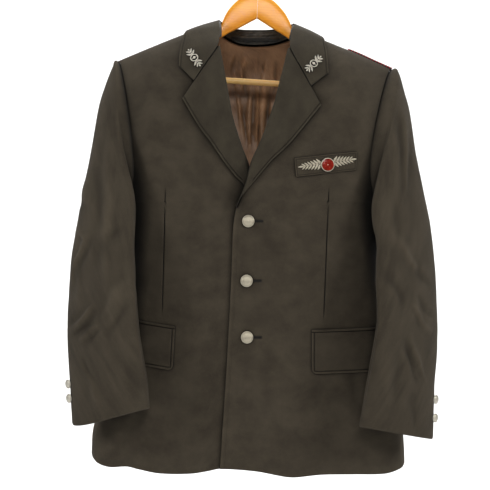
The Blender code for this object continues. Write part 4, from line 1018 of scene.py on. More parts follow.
TWILL, MOTTLE, HOLLOW_SHADE, PAINTED_LIGHT = twill_group(), mottle_group(), hollow_shade_group(), painted_light_group()
SLIT_SHADOW = shadowed("slit_shadow", (0.0015, 0.0013, 0.001), (0.005, 0.0045, 0.0035))
SERGE = serge("serge", (0.038, 0.0295, 0.0195), (0.110, 0.092, 0.066), TWILL)
SERGE_LAPEL = serge("serge_lapel", (0.036, 0.0285, 0.019), (0.092, 0.079, 0.056), TWILL)
SATIN = satin("satin_lining", (0.16, 0.086, 0.045), (0.43, 0.26, 0.145))
SLEEVE_SATIN = satin("sleeve_lining", (0.16, 0.145, 0.12), (0.26, 0.24, 0.20))
BAND = ribbed("neck_band", (0.006, 0.006, 0.005), (0.080, 0.076, 0.064), 3.0)
TAPE = ribbed("loop_tape", (0.004, 0.005, 0.005), (0.022, 0.024, 0.024), 1.6)
THREAD = ribbed("sewing_thread", (0.010, 0.008, 0.006), (0.030, 0.026, 0.021), 0.8)
CORD = corded("shoulder_cord", (0.020, 0.016, 0.014), (0.40, 0.022, 0.034), CORD_PITCH)
SILVER = metal("silvered_metal", (0.58, 0.53, 0.42), (0.10, 0.085, 0.06), 0.6, 0.45)
PEWTER = metal("pewter_metal", (0.68, 0.64, 0.55), (0.05, 0.045, 0.034), 0.6, 0.4)
ENAMEL = enamelled("red_enamel", (0.34, 0.026, 0.011), (0.17, 0.010, 0.007))
ARM_WOOD = varnished("arm_wood", (0.76, 0.26, 0.014), (0.93, 0.45, 0.045), 0.36, 0.08, math.radians(-24))
BAR_WOOD = varnished("bar_wood", (0.86, 0.45, 0.13), (0.98, 0.70, 0.28), 0.42, 0.12, math.radians(-6))
WIRE = metal("plated_wire", (0.75, 0.75, 0.74), (0.35, 0.35, 0.34))


# The garment's pieces

def chord(surface, v):
    """How long each row of a surface is, in a straight line from end to end."""
    v = np.asarray(v, float)[:, None]
    steps = surface(np.linspace(0, 1, 9)[None, :], v)
    return size_of(np.diff(steps, axis=1)).sum(axis=1)


def closer_up(count, power):
    """Places from 0 to 1 that lie closer together towards 1."""
    return 1 - np.linspace(1, 0, count) ** power


def runs_of(*runs):
    """Even runs of places, one after the other."""
    return np.concatenate([np.linspace(*run) for run in runs])


def gaps_from(places, width):
    return places * np.asarray(width)[:, None]


def dart_line(places, ends):
    """The sewn line of a dart, as a fine groove that fades at both ends."""
    (top_x, top_h), (low_x, low_h) = ends
    share = (places[..., 2] - top_h) / (low_h - top_h)
    off = places[..., 0] - between(top_x, low_x, share)
    fade = np.clip(np.minimum(share, 1 - share) * 12 + 0.2, 0, 1) * (share > -0.02) * (share < 1.02)
    return fade * (DART_SWELL * soft_line(off, DART_REACH) - DART_DEPTH * soft_line(off, DART_WIDTH))


def dart_columns(surface, v, width, side):
    """Each row's places from 0 to 1, close together beside the front edge and on both sides of the dart."""
    (top_x, top_h), (low_x, low_h) = DARTS[side]
    even = np.linspace(0, 1, 61)
    rows = surface(even[None, :], v[:, None])
    off = side * (rows[..., 0] - between(top_x, low_x, (rows[..., 2] - top_h) / (low_h - top_h)))
    at = np.array([np.interp(0.0, row, even) for row in off])
    at = np.convolve(np.pad(np.clip(at, 0.3, 0.85), 6, mode="edge"), np.ones(13) / 13, mode="valid") * width
    near = np.array((-2.6, -1.9, -1.3, -0.85, -0.5, -0.2, 0.0, 0.2, 0.5, 0.85, 1.3, 1.9, 2.6))
    first = places_along(62, at - near[-1] * 1.3) * (at - near[-1] * 1.3)[:, None]
    last = between((at + near[-1] * 1.3)[:, None], width[:, None], np.linspace(0, 1, 40)[None, :])
    return np.concatenate([first, at[:, None] + near[None, :], last], axis=1) / width[:, None]


def make_front(side):
    surface = partial(front_surface, side)
    v = closer_up(FRONT_ROWS, PANEL_CLOSENESS)
    v = np.concatenate([np.array((0.0, 0.0008, 0.002)), v[1:]])
    width = chord(surface, v)
    u = dart_columns(surface, v, width, side)
    outer = surface(u, v[:, None])
    outer[..., 1] = np.where(outer[..., 2] > ARMPIT, np.minimum(outer[..., 1], -0.1), outer[..., 1])
    gaps = gaps_from(u, width)
    low = (outer[..., 2] < BREAK[side] + 10)
    drawn = creases(outer, FRONT_CREASES)
    relief = drawn + dart_line(outer, DARTS[side])
    relief = relief + ripple(outer, "front", side)
    relief = relief * ease(gaps / 40) + np.where(low, 0.35 * stitched(gaps), 0)
    relief = relief * ease((1 - v[:, None]) * 30)
    relief = relief + fold_in(gaps) + fold_in(v[:, None] * PANEL_LENGTH)
    # Painted light: painted shade in the crease troughs, the dart and the stitched line, and a painted
    # highlight on the crease ridges and along the front edge.
    painted_light = 0.12 * drawn + 0.9 * np.minimum(0, dart_line(outer, DARTS[side]))
    painted_light = painted_light + np.where(low, 0.12 * stitched(gaps) + 0.35 * soft_line(gaps, SEAM_LINE), 0)
    cloth(named("front", side), outer, SERGE_CLOTH, (0, 400, 400), (SERGE, SATIN), relief, painted_light=painted_light)


def make_back(side):
    surface = partial(back_surface, side)
    rows, columns = BACK_LATTICE
    v = closer_up(rows, PANEL_CLOSENESS)
    width = chord(surface, v)
    u = places_along(columns, width, near=())
    outer = surface(u, v[:, None])
    outer[..., 1] = np.where(outer[..., 2] > ARMPIT, np.maximum(outer[..., 1], 0.1), outer[..., 1])
    gaps = gaps_from(u, width)
    relief = creases(outer, BACK_CREASES) * (outer[..., 1] > 0)
    relief = relief + ripple(outer, "back", side)
    relief = relief * ease((1 - v[:, None]) * 30) * ease(gaps / 30)
    relief = relief - 0.9 * soft_line(gaps, SEAM_LINE) + fold_in(v[:, None] * PANEL_LENGTH)
    cloth(named("back", side), outer, SERGE_CLOTH, (0, -400, 400), (SERGE, SATIN), relief)


def make_sleeve(side, first, last, part):
    rows, columns = SLEEVE_LATTICE[part]
    along = np.concatenate([np.array((0.0, 0.003, 0.006, 0.01, 0.014, 0.019)), np.linspace(0.025, 1, rows)])
    turn = np.linspace(first, last, columns)
    outer = sleeve_surface(side, turn, along, SLEEVE_SEAM_LIFT)
    steps = size_of(np.diff(outer, axis=0)).mean(axis=1)
    run = np.cumsum(np.concatenate([[0], steps]))[:, None]
    relief = HEAD_ROLL * np.sin(np.pi * np.clip(run / (2.4 * HEAD_REACH), 0, 1))
    shown = SLEEVE_CREASES[side] if part == "top" else SLEEVE_BACK_CREASES
    folds = 1.3 * creases(outer, shown) + ripple(outer, "sleeve", side)
    seam = np.minimum(turn - first, last - turn)[None, :]
    relief = relief + folds * ease(run / 30) * ease(seam / 14)
    relief = relief - 0.7 * soft_line(seam, SEAM_TURN) + fold_in(run[-1] - run)
    # The seam allowance goes in under the body's cloth.
    centres = sleeve_middle(side, along, SLEEVE_SEAM_LIFT)[:, None, :]
    inwards = unit(centres[:1] - outer[:1])
    tucks = [outer[:1] + inwards * drop - points(side * back, 0, 0) for back, drop in HEAD_TUCKS]
    outer = np.concatenate([*tucks, outer])
    hidden = len(HEAD_TUCKS)
    relief = np.concatenate([np.zeros((hidden, columns)), relief])
    # Painted light: painted shade and highlight on the folds, and painted shade along the head seam and on
    # the tucked-in allowance.
    painted_light = 0.16 * folds * ease(run / 30) - 0.9 * soft_line(run, 2.5)
    painted_light = np.concatenate([np.full((hidden, columns), -0.9), painted_light])
    centres = np.broadcast_to(np.concatenate([centres[:1]] * hidden + [centres]), outer.shape)
    lined = (SERGE, SLEEVE_SATIN)
    cloth(named(f"sleeve_{part}", side), outer, SERGE_CLOTH, centres, lined, relief, painted_light=painted_light)


def make_lapel(side):
    up = np.concatenate([np.linspace(0, 0.985, 110), (0.99, 0.994, 0.997, 1.0)])
    across = runs_of((0, 0.46, 20), (0.48, 0.88, 20), (0.89, 1.0, 36))
    outer = lapel_surface(side, up, np.broadcast_to(across[None, :], (len(up), len(across))))
    roll, edge = lapel_ends(side, up)
    width = size_of(edge - roll)[:, None]
    flat_end = size_of(outer[:, -1:, :] - outer)
    top_gap = (1 - up)[:, None] * LAPEL_LENGTH
    relief = creases(outer, LAPEL_CREASES) + ripple(outer, "lapel", side) + ripple(outer, "lapel_fine")
    relief = relief * ease(flat_end / 18) * ease(top_gap / 10) * np.clip(width / 60, 0, 1)
    relief = relief + stitched(flat_end) * (width > STITCHED_FROM) + fold_in(flat_end) + fold_in(top_gap, 0.8)
    # Painted light: painted shade along the stitched line and a painted highlight along the outer edge.
    painted_light = 0.5 * stitched(flat_end) * (width > STITCHED_FROM) + 0.5 * soft_line(flat_end, 1.8)
    cloth(named("lapel", side), outer, LAPEL_CLOTH, (0, 400, 500), (SERGE_LAPEL,), relief,
          painted_light=painted_light)


def make_collar():
    near, far = (0.0, 0.0015, 0.003, 0.006), (0.994, 0.997, 0.9985, 1.0)
    u = np.concatenate([near, np.linspace(0.01, 0.99, 190), far])
    v = runs_of((0, 0.78, 18), (0.8, 1, 24))
    outer, out = collar_surface(u, v)
    middle = outer - out
    depth_of = size_of(outer[-1] - outer[0])[None, :]
    gaps = (1 - v)[:, None] * depth_of
    ends = np.minimum(u, 1 - u)[None, :] * COLLAR_LENGTH
    relief = ripple(outer, "collar") * ease(gaps / 14) * ease(ends / 12)
    relief = relief + stitched(gaps) * 0.9 + fold_in(gaps) + fold_in(ends, 0.9)
    # Painted light: painted shade along the stitched line and a painted highlight along the edge.
    painted_light = 0.4 * stitched(gaps) + 0.4 * soft_line(gaps, 2.0)
    names = "collar_cloth", "collar"
    cloth(names, outer, LAPEL_CLOTH, middle, (SERGE_LAPEL,), relief, painted_light=painted_light)


def make_stand():
    v, u = (np.linspace(0, 1, count) for count in STAND_LATTICE)
    outer, inwards = stand_surface(u, v)
    relief = ripple(outer, "stand") + 0.35 * np.sin(v * 26)[:, None]
    relief = relief * ease(np.minimum(v, 1 - v) * 6)[:, None]
    names = "neck_band_cloth", "collar_stand"
    cloth(names, outer, BAND_CLOTH, outer - inwards, (BAND,), relief)


def make_lining():
    spread_u = runs_of((0, 0.36, 26), (0.3623, 0.6377, 120), (0.64, 1, 26))
    v = between(LINING_LOW, LINING_HIGH, closer_up(LINING_ROWS, LINING_CLOSENESS))
    halves = []
    for side in (RIGHT, LEFT):
        half = spread_u < 0.5 if side == RIGHT else spread_u > 0.5
        reach = np.minimum(np.abs(1 - 2 * spread_u[half]), LINING_REACH)
        halves.append(back_surface(side, reach[None, :], v[:, None], LINING_INSET))
    outer = np.concatenate(halves, axis=1)
    outer[..., 1] = np.maximum(outer[..., 1], 0.3)
    inside_normals = -lattice_normals(outer, (0, -400, 400))
    drawn = creases(outer, LINING_CREASES)
    relief = drawn + ripple(outer, "lining")
    outer = outer + inside_normals * 1.2
    # Painted light: painted shade in the crease troughs and a painted highlight on their ridges.
    names, painted_light = ("back_lining_satin", "back_lining"), 0.32 * drawn
    cloth(names, outer, LINING_CLOTH, outer - inside_normals, (SATIN,), relief, painted_light=painted_light)


def patch_lattice(corners, lift, u, v, side, round_lower=0.0):
    low_in, low_out, high_out, high_in = (np.array(corner, float) for corner in corners)
    u, v = u[None, :, None], v[:, None, None]
    spot = between(between(low_in, low_out, u), between(high_in, high_out, u), v)
    if round_lower:
        width = np.linalg.norm(low_out - low_in)
        gap = np.clip(1 - u * width / round_lower, 0, 1)
        rise = round_lower * (1 - np.sqrt(1 - gap**2)) * np.clip(1 - v / 0.5, 0, 1)
        spot = spot + unit(high_in - low_in) * rise
    return on_front(side, spot[..., 0], spot[..., 1], np.full(spot.shape[:-1], lift))


def edge_lattice(width, inner):
    """Places from 0 to 1 that lie close together near both ends."""
    return places_along(inner, [width], near=EDGE_PLACES, far=EDGE_PLACES)[0]


def make_pocket(side):
    inner_x, inner_h, outer_x, outer_h, lean = FLAP[side]
    high_in, high_out = np.array((inner_x, inner_h - JET_HEIGHT)), np.array((outer_x, outer_h - JET_HEIGHT))
    down = np.array((0, -FLAP_DROP))
    corners = (high_in + down + np.array((lean, 0)), high_out + down, high_out, high_in)
    wide = np.linalg.norm(high_out - high_in)
    v, u = (edge_lattice(size, count) for size, count in zip((FLAP_DROP, wide), FLAP_LATTICE))
    outer = patch_lattice(corners, 3.0, u, v, side, 9.0)
    gap_in, gap_low = u[None, :] * wide, v[:, None] * FLAP_DROP
    gaps = np.minimum(gap_in, gap_low)
    relief = stitched(gaps) * 1.3 + fold_in(gap_in) + fold_in(gap_low)
    relief = relief + ripple(outer, "flap", side) * ease(gaps / 12)
    relief = relief + 1.4 * ease(1 - gap_low / 30) * np.sin(gap_in / wide * 5 + 1) * 0.6
    # Painted light: painted shade along the stitched line and a painted highlight along the flap's edges.
    painted_light = 0.6 * stitched(gaps) + 0.5 * soft_line(gaps, 2.0)
    cloth(named("pocket_flap", side), outer, FLAP_CLOTH, (0, 400, 300), (SERGE,), relief, painted_light=painted_light)
    gap, jet = np.array((0, 0.4)), np.array((0, JET_HEIGHT))
    corners = (high_in + gap, high_out + gap, high_out + jet, high_in + jet)
    v = np.linspace(0, 1, JET_ROWS)
    outer = patch_lattice(corners, 2.5, u, v, side)
    edge = np.minimum(v, 1 - v)[:, None] * JET_HEIGHT
    relief = np.broadcast_to(fold_in(edge, 1.8), outer.shape[:-1]) + ripple(outer, "jet")
    cloth(named("pocket_jet", side), outer, JET_CLOTH, (0, 400, 300), (SERGE,), relief)


def make_breast_welt():
    tall, wide = WELT_SIZE
    v, u = (edge_lattice(size, count) for size, count in zip(WELT_SIZE, WELT_LATTICE))
    outer = patch_lattice(WELT_CORNERS, 2.1, u, v, LEFT)
    gaps = np.minimum(np.minimum(u, 1 - u)[None, :] * wide, np.minimum(v, 1 - v)[:, None] * tall)
    relief = fold_in(gaps) - 0.45 * soft_line(gaps, 0.5, WELT_STITCH)
    relief = relief + ripple(outer, "welt") * ease(gaps / 8)
    # Painted light: a painted highlight along the welt's edges and painted shade along its stitched line.
    painted_light = 0.45 * soft_line(gaps, 1.4) - 0.7 * soft_line(gaps, 0.7, WELT_STITCH)
    names = "breast_welt_cloth", "breast_welt"
    cloth(names, outer, WELT_CLOTH, (0, 400, 500), (SERGE,), relief, painted_light=painted_light)


def make_cord():
    v, u = (np.linspace(0, 1, count) for count in CORD_LATTICE)
    across = between(BRAID_ENDS[0], BRAID_ENDS[1], u)[None, :]
    turn = np.radians(between(-BRAID_SPREAD, BRAID_SPREAD, v))[:, None]
    slope = (read(SHOULDER, across + 1) - read(SHOULDER, across - 1)) / 2
    normal = unit(points(-slope, 0, 1))
    drop = BRAID_DROP * (1 - np.cos(turn * 2))
    outer = points(across, np.sin(turn) * BRAID_WIDTH, read(SHOULDER, across) - drop)
    outer = outer + normal * (0.6 + BRAID_THICKNESS)
    run = u[None, :] * size_of(outer[:, -1] - outer[:, 0])[:, None] + 0.4 * v[:, None] * 16.0
    twist = 0.9 * np.maximum(0, np.sin(run * 2 * np.pi / CORD_PITCH))
    relief = np.broadcast_to(twist + 0.3 * np.abs(np.sin(v * np.pi * 5))[:, None] - 0.9, outer.shape[:-1])
    names = "shoulder_cord_edging", "shoulder_braid"
    cloth(names, outer, BRAID_THICKNESS, (193, 0, 600), (CORD,), relief)


def make_loop():
    v, u = (np.linspace(0, 1, count) for count in LOOP_LATTICE)
    arch = np.sin(np.pi * u)
    at = between(LOOP_PLACES[0], LOOP_PLACES[1], u)
    down = between(LOOP_LOW, LOOP_HIGH, v)[:, None] - LOOP_RISE * arch[None, :]
    ends, inwards = stand_surface(at, np.array((0.0, 1.0)))
    spots = between(ends[:1], ends[1:], down[..., None])
    outer = spots + inwards * (1.8 + LOOP_BOW * arch[None, :, None])
    relief = ripple(outer, "loop")
    names = "hanging_loop_tape", "hanger_loop"
    cloth(names, outer, TAPE_CLOTH, outer - inwards, (TAPE,), relief)


# Buttons, insignia, stitching and the hanger

def closed(shape, verts):
    """Turns the faces round some vertices so that they face out."""
    bmesh.ops.recalc_face_normals(shape, faces=list({face for vert in verts for face in vert.link_faces}))


def tube(name, sections, material, node):
    """A closed tube through rings of points, as a piece of its own."""
    shape = bmesh.new()
    loft(shape, sections)
    return finish_shape(name, shape, (material,), [node])


def turned(shape, centre, normal, profile, segments, petals=0, relief=0.0, band=(0.0, 1.0)):
    """Adds a solid of revolution: the profile's radii and heights run from the rim's foot to its face."""
    outline = [(0.0, profile[0][1])] + list(profile) + [(0.0, profile[-1][1])]
    verts = [shape.verts.new((radius, 0.0, height)) for radius, height in outline]
    edges = [shape.edges.new(pair) for pair in zip(verts, verts[1:])]
    old = set(shape.verts) - set(verts)
    whole = 2 * math.pi
    around = {"axis": (0, 0, 1), "cent": (0, 0, 0), "angle": whole, "steps": segments}
    bmesh.ops.spin(shape, geom=verts + edges, use_merge=True, **around)
    added = [vert for vert in shape.verts if vert not in old]
    bmesh.ops.remove_doubles(shape, verts=added, dist=0.0005)
    added = [vert for vert in shape.verts if vert not in old]
    turn = Vector(normal).to_track_quat("Z", "Y")
    for vert in added:
        radius, angle = math.hypot(vert.co.x, vert.co.y), math.atan2(vert.co.y, vert.co.x)
        share = (radius - band[0]) / (band[1] - band[0])
        if petals and 0 < share < 1 and vert.co.z > profile[0][1] + 0.8:
            vert.co.z += relief * math.sin(math.pi * share) * abs(math.cos(angle * petals / 2))
        vert.co = turn @ vert.co + Vector(centre)
    closed(shape, added)


def finish_shape(name, shape, materials, nodes):
    for vert in shape.verts:
        vert.co = (vert.co - Vector((0, 0, HOOK_HEIGHT))) * METRES
    mesh = bpy.data.meshes.new(name)
    shape.to_mesh(mesh)
    shape.free()
    return finish(name, mesh, materials, nodes)


def button_profile(radius):
    """A domed face inside a rolled rim, on a flat back."""
    return tuple((radius * share, height) for share, height in BUTTON_SHAPE)


def spot_on(across, height, lift=0.0, surface=partial(on_body, facing=-1)):
    """A point on the front, moved out by the lift."""
    return Vector(surface(np.array(across), np.array(height), lift=np.array(lift)))


def normal_on(across, height):
    return Vector(body_normal(np.array(across), np.array(height), -1))


def petal_band(radius, inner=0.28, outer=0.78):
    """The radii between which a face has its petals."""
    return radius * inner, radius * outer


def make_buttons():
    for number, (across, height) in enumerate(BUTTONS, 1):
        shape = bmesh.new()
        centre, normal = spot_on(across, height, 0.9), normal_on(across, height)
        turned(shape, centre, normal, button_profile(BUTTON_RADIUS), 64, 12, 0.22, petal_band(BUTTON_RADIUS))
        # The shank goes into the cloth behind.
        turned(shape, centre - normal * 1.6, normal, ((1.9, 0.0), (1.9, 1.8)), 16)
        finish_shape(f"front_button_{number}", shape, (SILVER,), [f"button_{number}"])
    for side in (LEFT, RIGHT):
        for number, along in enumerate(CUFF_BUTTONS[side], 1):
            shape = bmesh.new()
            # They hang from their shanks, and so lean forwards.
            centre, normal = sleeve_frame(side, CUFF_BUTTON_TURN, along)
            normal = (normal + Vector((0, -0.7, 0))).normalized()
            profile, band = button_profile(CUFF_BUTTON_RADIUS), petal_band(CUFF_BUTTON_RADIUS)
            turned(shape, centre + normal * 2.4, normal, profile, 48, 10, 0.35, band)
            turned(shape, centre - normal * 0.6, normal, ((1.6, 0.0), (1.6, 3.4)), 12)
            node = f"cuff_button_{WORD[side]}_{number}"
            finish_shape(f"cuff_button_{number}_{WORD[side]}", shape, (PEWTER,), [node])


def sleeve_frame(side, turn, along):
    steps = np.array((-1, 0, 1))
    spots = sleeve_surface(side, turn + 0.6 * steps, along + 0.002 * steps)
    normal = unit(np.cross(spots[1, 2] - spots[1, 0], spots[2, 1] - spots[0, 1]))
    if np.dot(normal, spots[1, 1] - sleeve_middle(side, np.array([along]))[0]) < 0:
        normal = -normal
    return Vector(spots[1, 1]), Vector(normal)


def add_leaf(shape, place, start, direction, length, width, lift, tall):
    """A pointed leaf with a raised midrib, on a surface where place(along, up, lift) gives a point."""
    made = bmesh.ops.create_grid(shape, x_segments=10, y_segments=6, size=0.5)["verts"]
    faces = list({face for vert in made for face in vert.link_faces})
    extruded = bmesh.ops.extrude_face_region(shape, geom=faces, use_keep_orig=True)
    under = set(new_verts(extruded))
    cosine, sine = math.cos(direction), math.sin(direction)
    verts = set(made) | under
    for vert in verts:
        along, side = vert.co.x + 0.5, vert.co.y * 2
        half = width / 2 * math.sin(math.pi * min(1.0, along**0.75 * 0.96 + 0.03)) ** 0.8
        out, up = along * length, side * half
        bow = math.sin(along * math.pi) * tall
        rise = 0.0
        if vert not in under:
            veins = 0.14 * math.cos(along * 34 + abs(side) * 4) - 0.25 * (abs(side) < 0.1)
            rise = 0.35 + bow * (1 - abs(side) ** 1.5) * 0.9 + veins
        vert.co = place(start[0] + out * cosine - up * sine, start[1] + out * sine + up * cosine, lift + rise)
    closed(shape, verts)


def add_stem(shape, place, spots, radius, lift):
    """A thin round stem through places on the surface."""
    sections = []
    for index, (along, up) in enumerate(spots):
        before, after = spots[max(index - 1, 0)], spots[min(index + 1, len(spots) - 1)]
        run = Vector((after[0] - before[0], after[1] - before[1])).normalized()
        turns = [2 * math.pi * step / 8 for step in range(8)]
        sides = [(math.cos(turn) * radius, lift + math.sin(turn) * radius * 0.8) for turn in turns]
        sections.append([place(along - run.y * out, up + run.x * out, rise) for out, rise in sides])
    loft(shape, sections)


def loft(shape, sections):
    """Adds a closed tube through rings of points, with a cap on each end."""
    first = [shape.verts.new(spot) for spot in sections[0]]
    face = shape.faces.new(first)
    added = list(first)
    for section in sections[1:]:
        made = bmesh.ops.extrude_discrete_faces(shape, faces=[face])
        face = made["faces"][0]
        for vert, spot in zip(face.verts, section):
            vert.co = spot
            added.append(vert)
    shape.faces.new(list(reversed(first)))
    bmesh.ops.remove_doubles(shape, verts=added, dist=0.00001)
    closed(shape, [vert for vert in added if vert.is_valid])


def spray(shape, place, first, half_length, half_height, pairs, lift, tall):
    """Two sprays of leaves that grow outwards from beside the middle, each on its own stem."""
    for way in (-1, 1):
        shares = np.linspace(0.0, 1.0, 9)
        outwards = [way * between(first * 0.8, half_length * 0.86, share) for share in shares]
        stem = [(out, 0.4 * math.sin(share * 3)) for out, share in zip(outwards, shares)]
        add_stem(shape, place, stem, 0.6, lift + 0.3)
        ahead = 0.0 if way > 0 else math.pi
        for number in range(pairs):
            share = number / pairs
            size = half_height * between(1.7, 1.1, share)
            for lean in (-1, 1):
                direction = ahead + way * lean * math.radians(between(50, 34, share))
                start = (way * between(first, half_length * 0.84, share), 0.0)
                add_leaf(shape, place, start, direction, size, size * 0.34, lift, tall)
        start = (way * half_length * 0.8, 0.0)
        add_leaf(shape, place, start, ahead, half_length * 0.2, half_height * 0.5, lift, tall)


def make_badge():
    turn = math.radians(BADGE["turn"])

    def place(along, up, lift):
        across = BADGE["across"] + along * math.cos(turn) - up * math.sin(turn)
        height = BADGE["height"] + along * math.sin(turn) + up * math.cos(turn)
        return spot_on(across, height, lift, partial(on_front, LEFT))

    shape = bmesh.new()
    spray(shape, place, BOSS_RADIUS - 1.5, BADGE["half_length"], BADGE["half_height"], 6, 2.3, 1.0)
    finish_shape("breast_spray", shape, (SILVER,), ["breast_badge"])
    normal = normal_on(BADGE["across"], BADGE["height"])
    centre = place(0, BOSS_BELOW, 3.2)
    shape = bmesh.new()
    rim = BOSS_RADIUS
    profile = ((0.93, 0.0), (1.0, 0.6), (0.98, 1.4), (0.92, 1.75), (0.87, 1.7), (0.85, 1.1))
    profile = [(rim * share, height) for share, height in profile] + [(0.5, 1.2)]
    turned(shape, centre, normal, profile, 64)
    turned(shape, centre + normal * 1.2, normal, ((1.4, 0.0), (1.7, 0.3), (1.4, 0.7), (0.7, 0.9)), 24)
    finish_shape("boss_rim", shape, (SILVER,), [])
    shape = bmesh.new()
    dome = rim * 0.855
    profile = ((dome, 0.0), (dome, 0.25), (dome * 0.8, 0.55), (dome * 0.5, 0.8), (dome * 0.2, 0.9))
    turned(shape, centre + normal * 1.15, normal, profile, 64, 8, 0.2, petal_band(dome, 0.3, 0.95))
    finish_shape("boss_enamel", shape, (ENAMEL,), ["badge_boss"])


def make_collar_pin(side):
    u_middle, v_middle, turn = PIN_PLACE[side]
    turn = math.radians(turn)
    spots, out = collar_surface(np.array([u_middle]), np.array([v_middle]))
    middle, normal = Vector(spots[0, 0]), Vector(out[0])
    right = (Vector((1, 0, 0)) - normal * normal.x).normalized()
    up = right.cross(normal)
    up = up if up.z > 0 else -up

    def place(along, width, lift):
        x = along * math.cos(turn) - width * math.sin(turn)
        z = along * math.sin(turn) + width * math.cos(turn)
        return middle + right * x + up * z + normal * lift

    shape = bmesh.new()
    spray(shape, place, 6.6, PIN_LENGTH / 2, PIN_WIDTH / 2 * 0.9, 2, 0.9, 0.9)
    # An open ring with a stud on two short bars.
    round_turns = np.linspace(0, 2 * math.pi, 33)
    ring_spots = [(PIN_RING * math.cos(turn), PIN_RING * math.sin(turn)) for turn in round_turns]
    add_stem(shape, place, ring_spots, 0.95, 1.3)
    add_stem(shape, place, [(0.0, -PIN_RING), (0.0, 0.0), (0.0, PIN_RING)], 0.6, 1.1)
    turned(shape, place(0, 0, 0.9), normal, ((2.4, 0.0), (2.6, 0.5), (2.1, 1.2), (1.0, 1.6)), 28)
    finish_shape(f"collar_spray_{WORD[side]}", shape, (PEWTER,), [f"collar_pin_{WORD[side]}"])


def make_buttonholes():
    """A corded, stitched slit to the right of each button, which shows past its rim."""
    wide, deep = THREAD_RADII
    around = np.linspace(0, 2 * math.pi, 6)[:-1]
    thread = [Vector((wide * math.cos(turn), -deep * math.sin(turn), 0)) for turn in around]
    shape = bmesh.new()
    for across, height in BUTTONS:
        for row in (-1, 1):
            for number in range(HOLE_STITCHES):
                x = across + HOLE_START + HOLE_LENGTH * number / (HOLE_STITCHES - 1)
                sections = []
                for up in (0.25, 0.8, 1.4, 1.9):
                    lift = 0.55 * math.sin(math.pi * (up - 0.1) / 1.95) + 0.25
                    spot = spot_on(x, height + row * up, lift + 0.2)
                    sections.append([spot + offset for offset in thread])
                loft(shape, sections)
    finish_shape("buttonhole_stitches", shape, (THREAD,), [])
    # Painted shade: each slit is a near-black sheet that stands for the shadow in the opening.
    shape = bmesh.new()
    for across, height in BUTTONS:
        made = bmesh.ops.create_grid(shape, x_segments=12, y_segments=2, size=0.5)["verts"]
        for vert in made:
            share = vert.co.x + 0.5
            x, up = across + HOLE_START + HOLE_LENGTH * share, vert.co.y * HOLE_WIDTH * (1 - share**3)
            vert.co = spot_on(x, height + up, 0.35)
    finish_shape("buttonhole_slit_shadows", shape, (SLIT_SHADOW,), [])


def tilt(across, height):
    """Turns places in the hanger's own frame with the hanger."""
    angle = -math.radians(HANGER_TILT)
    x, z = across - HANGER_PIVOT[0], height - HANGER_PIVOT[1]
    return (
        HANGER_PIVOT[0] + x * math.cos(angle) - z * math.sin(angle),
        HANGER_PIVOT[1] + x * math.sin(angle) + z * math.cos(angle),
    )


def make_hanger():
    for side in (LEFT, RIGHT):
        last = ARM[side][-1][0]
        near = np.array((0.0, 0.2, 0.5))
        out = np.concatenate([near, np.linspace(1.0, last - 1.0, 90), last - near[::-1]])
        end = np.minimum(out + 0.15 - out[0], last - out)
        shrink = between(0.985, 1.0, np.clip(end / 1.0, 0, 1) ** 0.5)
        sections = []
        for place, share in zip(out, shrink):
            top, bottom = float(read(ARM[side], place)), float(read(ARM[side], place, 2))
            half, section = (top - bottom) / 2 * share, []
            for step in range(40):
                turn = 2 * math.pi * step / 40
                cosine, sine = math.cos(turn), math.sin(turn)
                height = (top + bottom) / 2 + half * math.copysign(abs(cosine) ** 0.7, cosine)
                y = WOOD_DEPTH / 2 * math.copysign(abs(sine) ** 0.45, sine)
                y = y * between(1.0, 0.8, place / last) * share
                across, height = tilt(HANGER_MIDDLE + side * (place + 0.15), height)
                section.append((across, y, height))
            sections.append(section)
        tube(f"hanger_arm_{WORD[side]}", sections, ARM_WOOD, f"hanger_{WORD[side]}")


def ring_round(centre, along, radius, count=16):
    along = along.normalized()
    side = Vector((0, 1, 0)).cross(along)
    side = side.normalized() if side.length > 1e-6 else Vector((0, 0, 1))
    other = along.cross(side)
    turns = np.linspace(0, 2 * math.pi, count + 1)[:-1]
    return [centre + (side * math.cos(turn) + other * math.sin(turn)) * radius for turn in turns]


def make_bar():
    across, height = tilt(HANGER_MIDDLE, BAR_HEIGHT)
    angle = -math.radians(BAR_TILT)
    along = Vector((math.cos(angle), 0, math.sin(angle)))
    middle = Vector((across, 0, height))
    sections = []
    for place in np.linspace(-BAR_REACH, BAR_REACH, 60):
        radius = BAR_RADIUS - 0.7 * (abs(place) > BAR_REACH - 0.5) + 0.05 * math.sin(place * 0.2)
        sections.append(ring_round(middle + along * place, along, radius, 24))
    tube("trouser_bar", sections, BAR_WOOD, "hanger_bar")


def make_hook():
    centre, wire = HOOK_HEIGHT - HOOK_RADIUS, HOOK_RADIUS + WIRE_RADIUS
    route = [(HANGER_MIDDLE, 0, HOOK_STEM + rise) for rise in (0, 8, 17)]
    for degrees in range(-70, -361, -18):
        turn = math.radians(degrees)
        route.append((wire * math.cos(turn), 0, centre + wire * math.sin(turn)))
    places = np.linspace(0, len(route) - 1, 110)
    spots = [Vector(spot) for spot in curve_through(route, places)]
    sections = []
    for index, spot in enumerate(spots):
        run = spots[min(index + 1, len(spots) - 1)] - spots[max(index - 1, 0)]
        tip = 0.72 if index == len(spots) - 1 else 1.0
        sections.append(ring_round(spot, run, WIRE_RADIUS * tip, 20))
    shape = bmesh.new()
    loft(shape, sections)
    collar = ((4.4, 0.0), (4.6, 0.5), (4.2, 1.1), (2.6, 1.6), (2.2, 3.0))
    turned(shape, (HANGER_MIDDLE, 0, HOOK_STEM - 0.6), (0, 0, 1), collar, 28)
    finish_shape("wire_hook", shape, (WIRE,), ["hanger_hook"])


# The stage, in metres

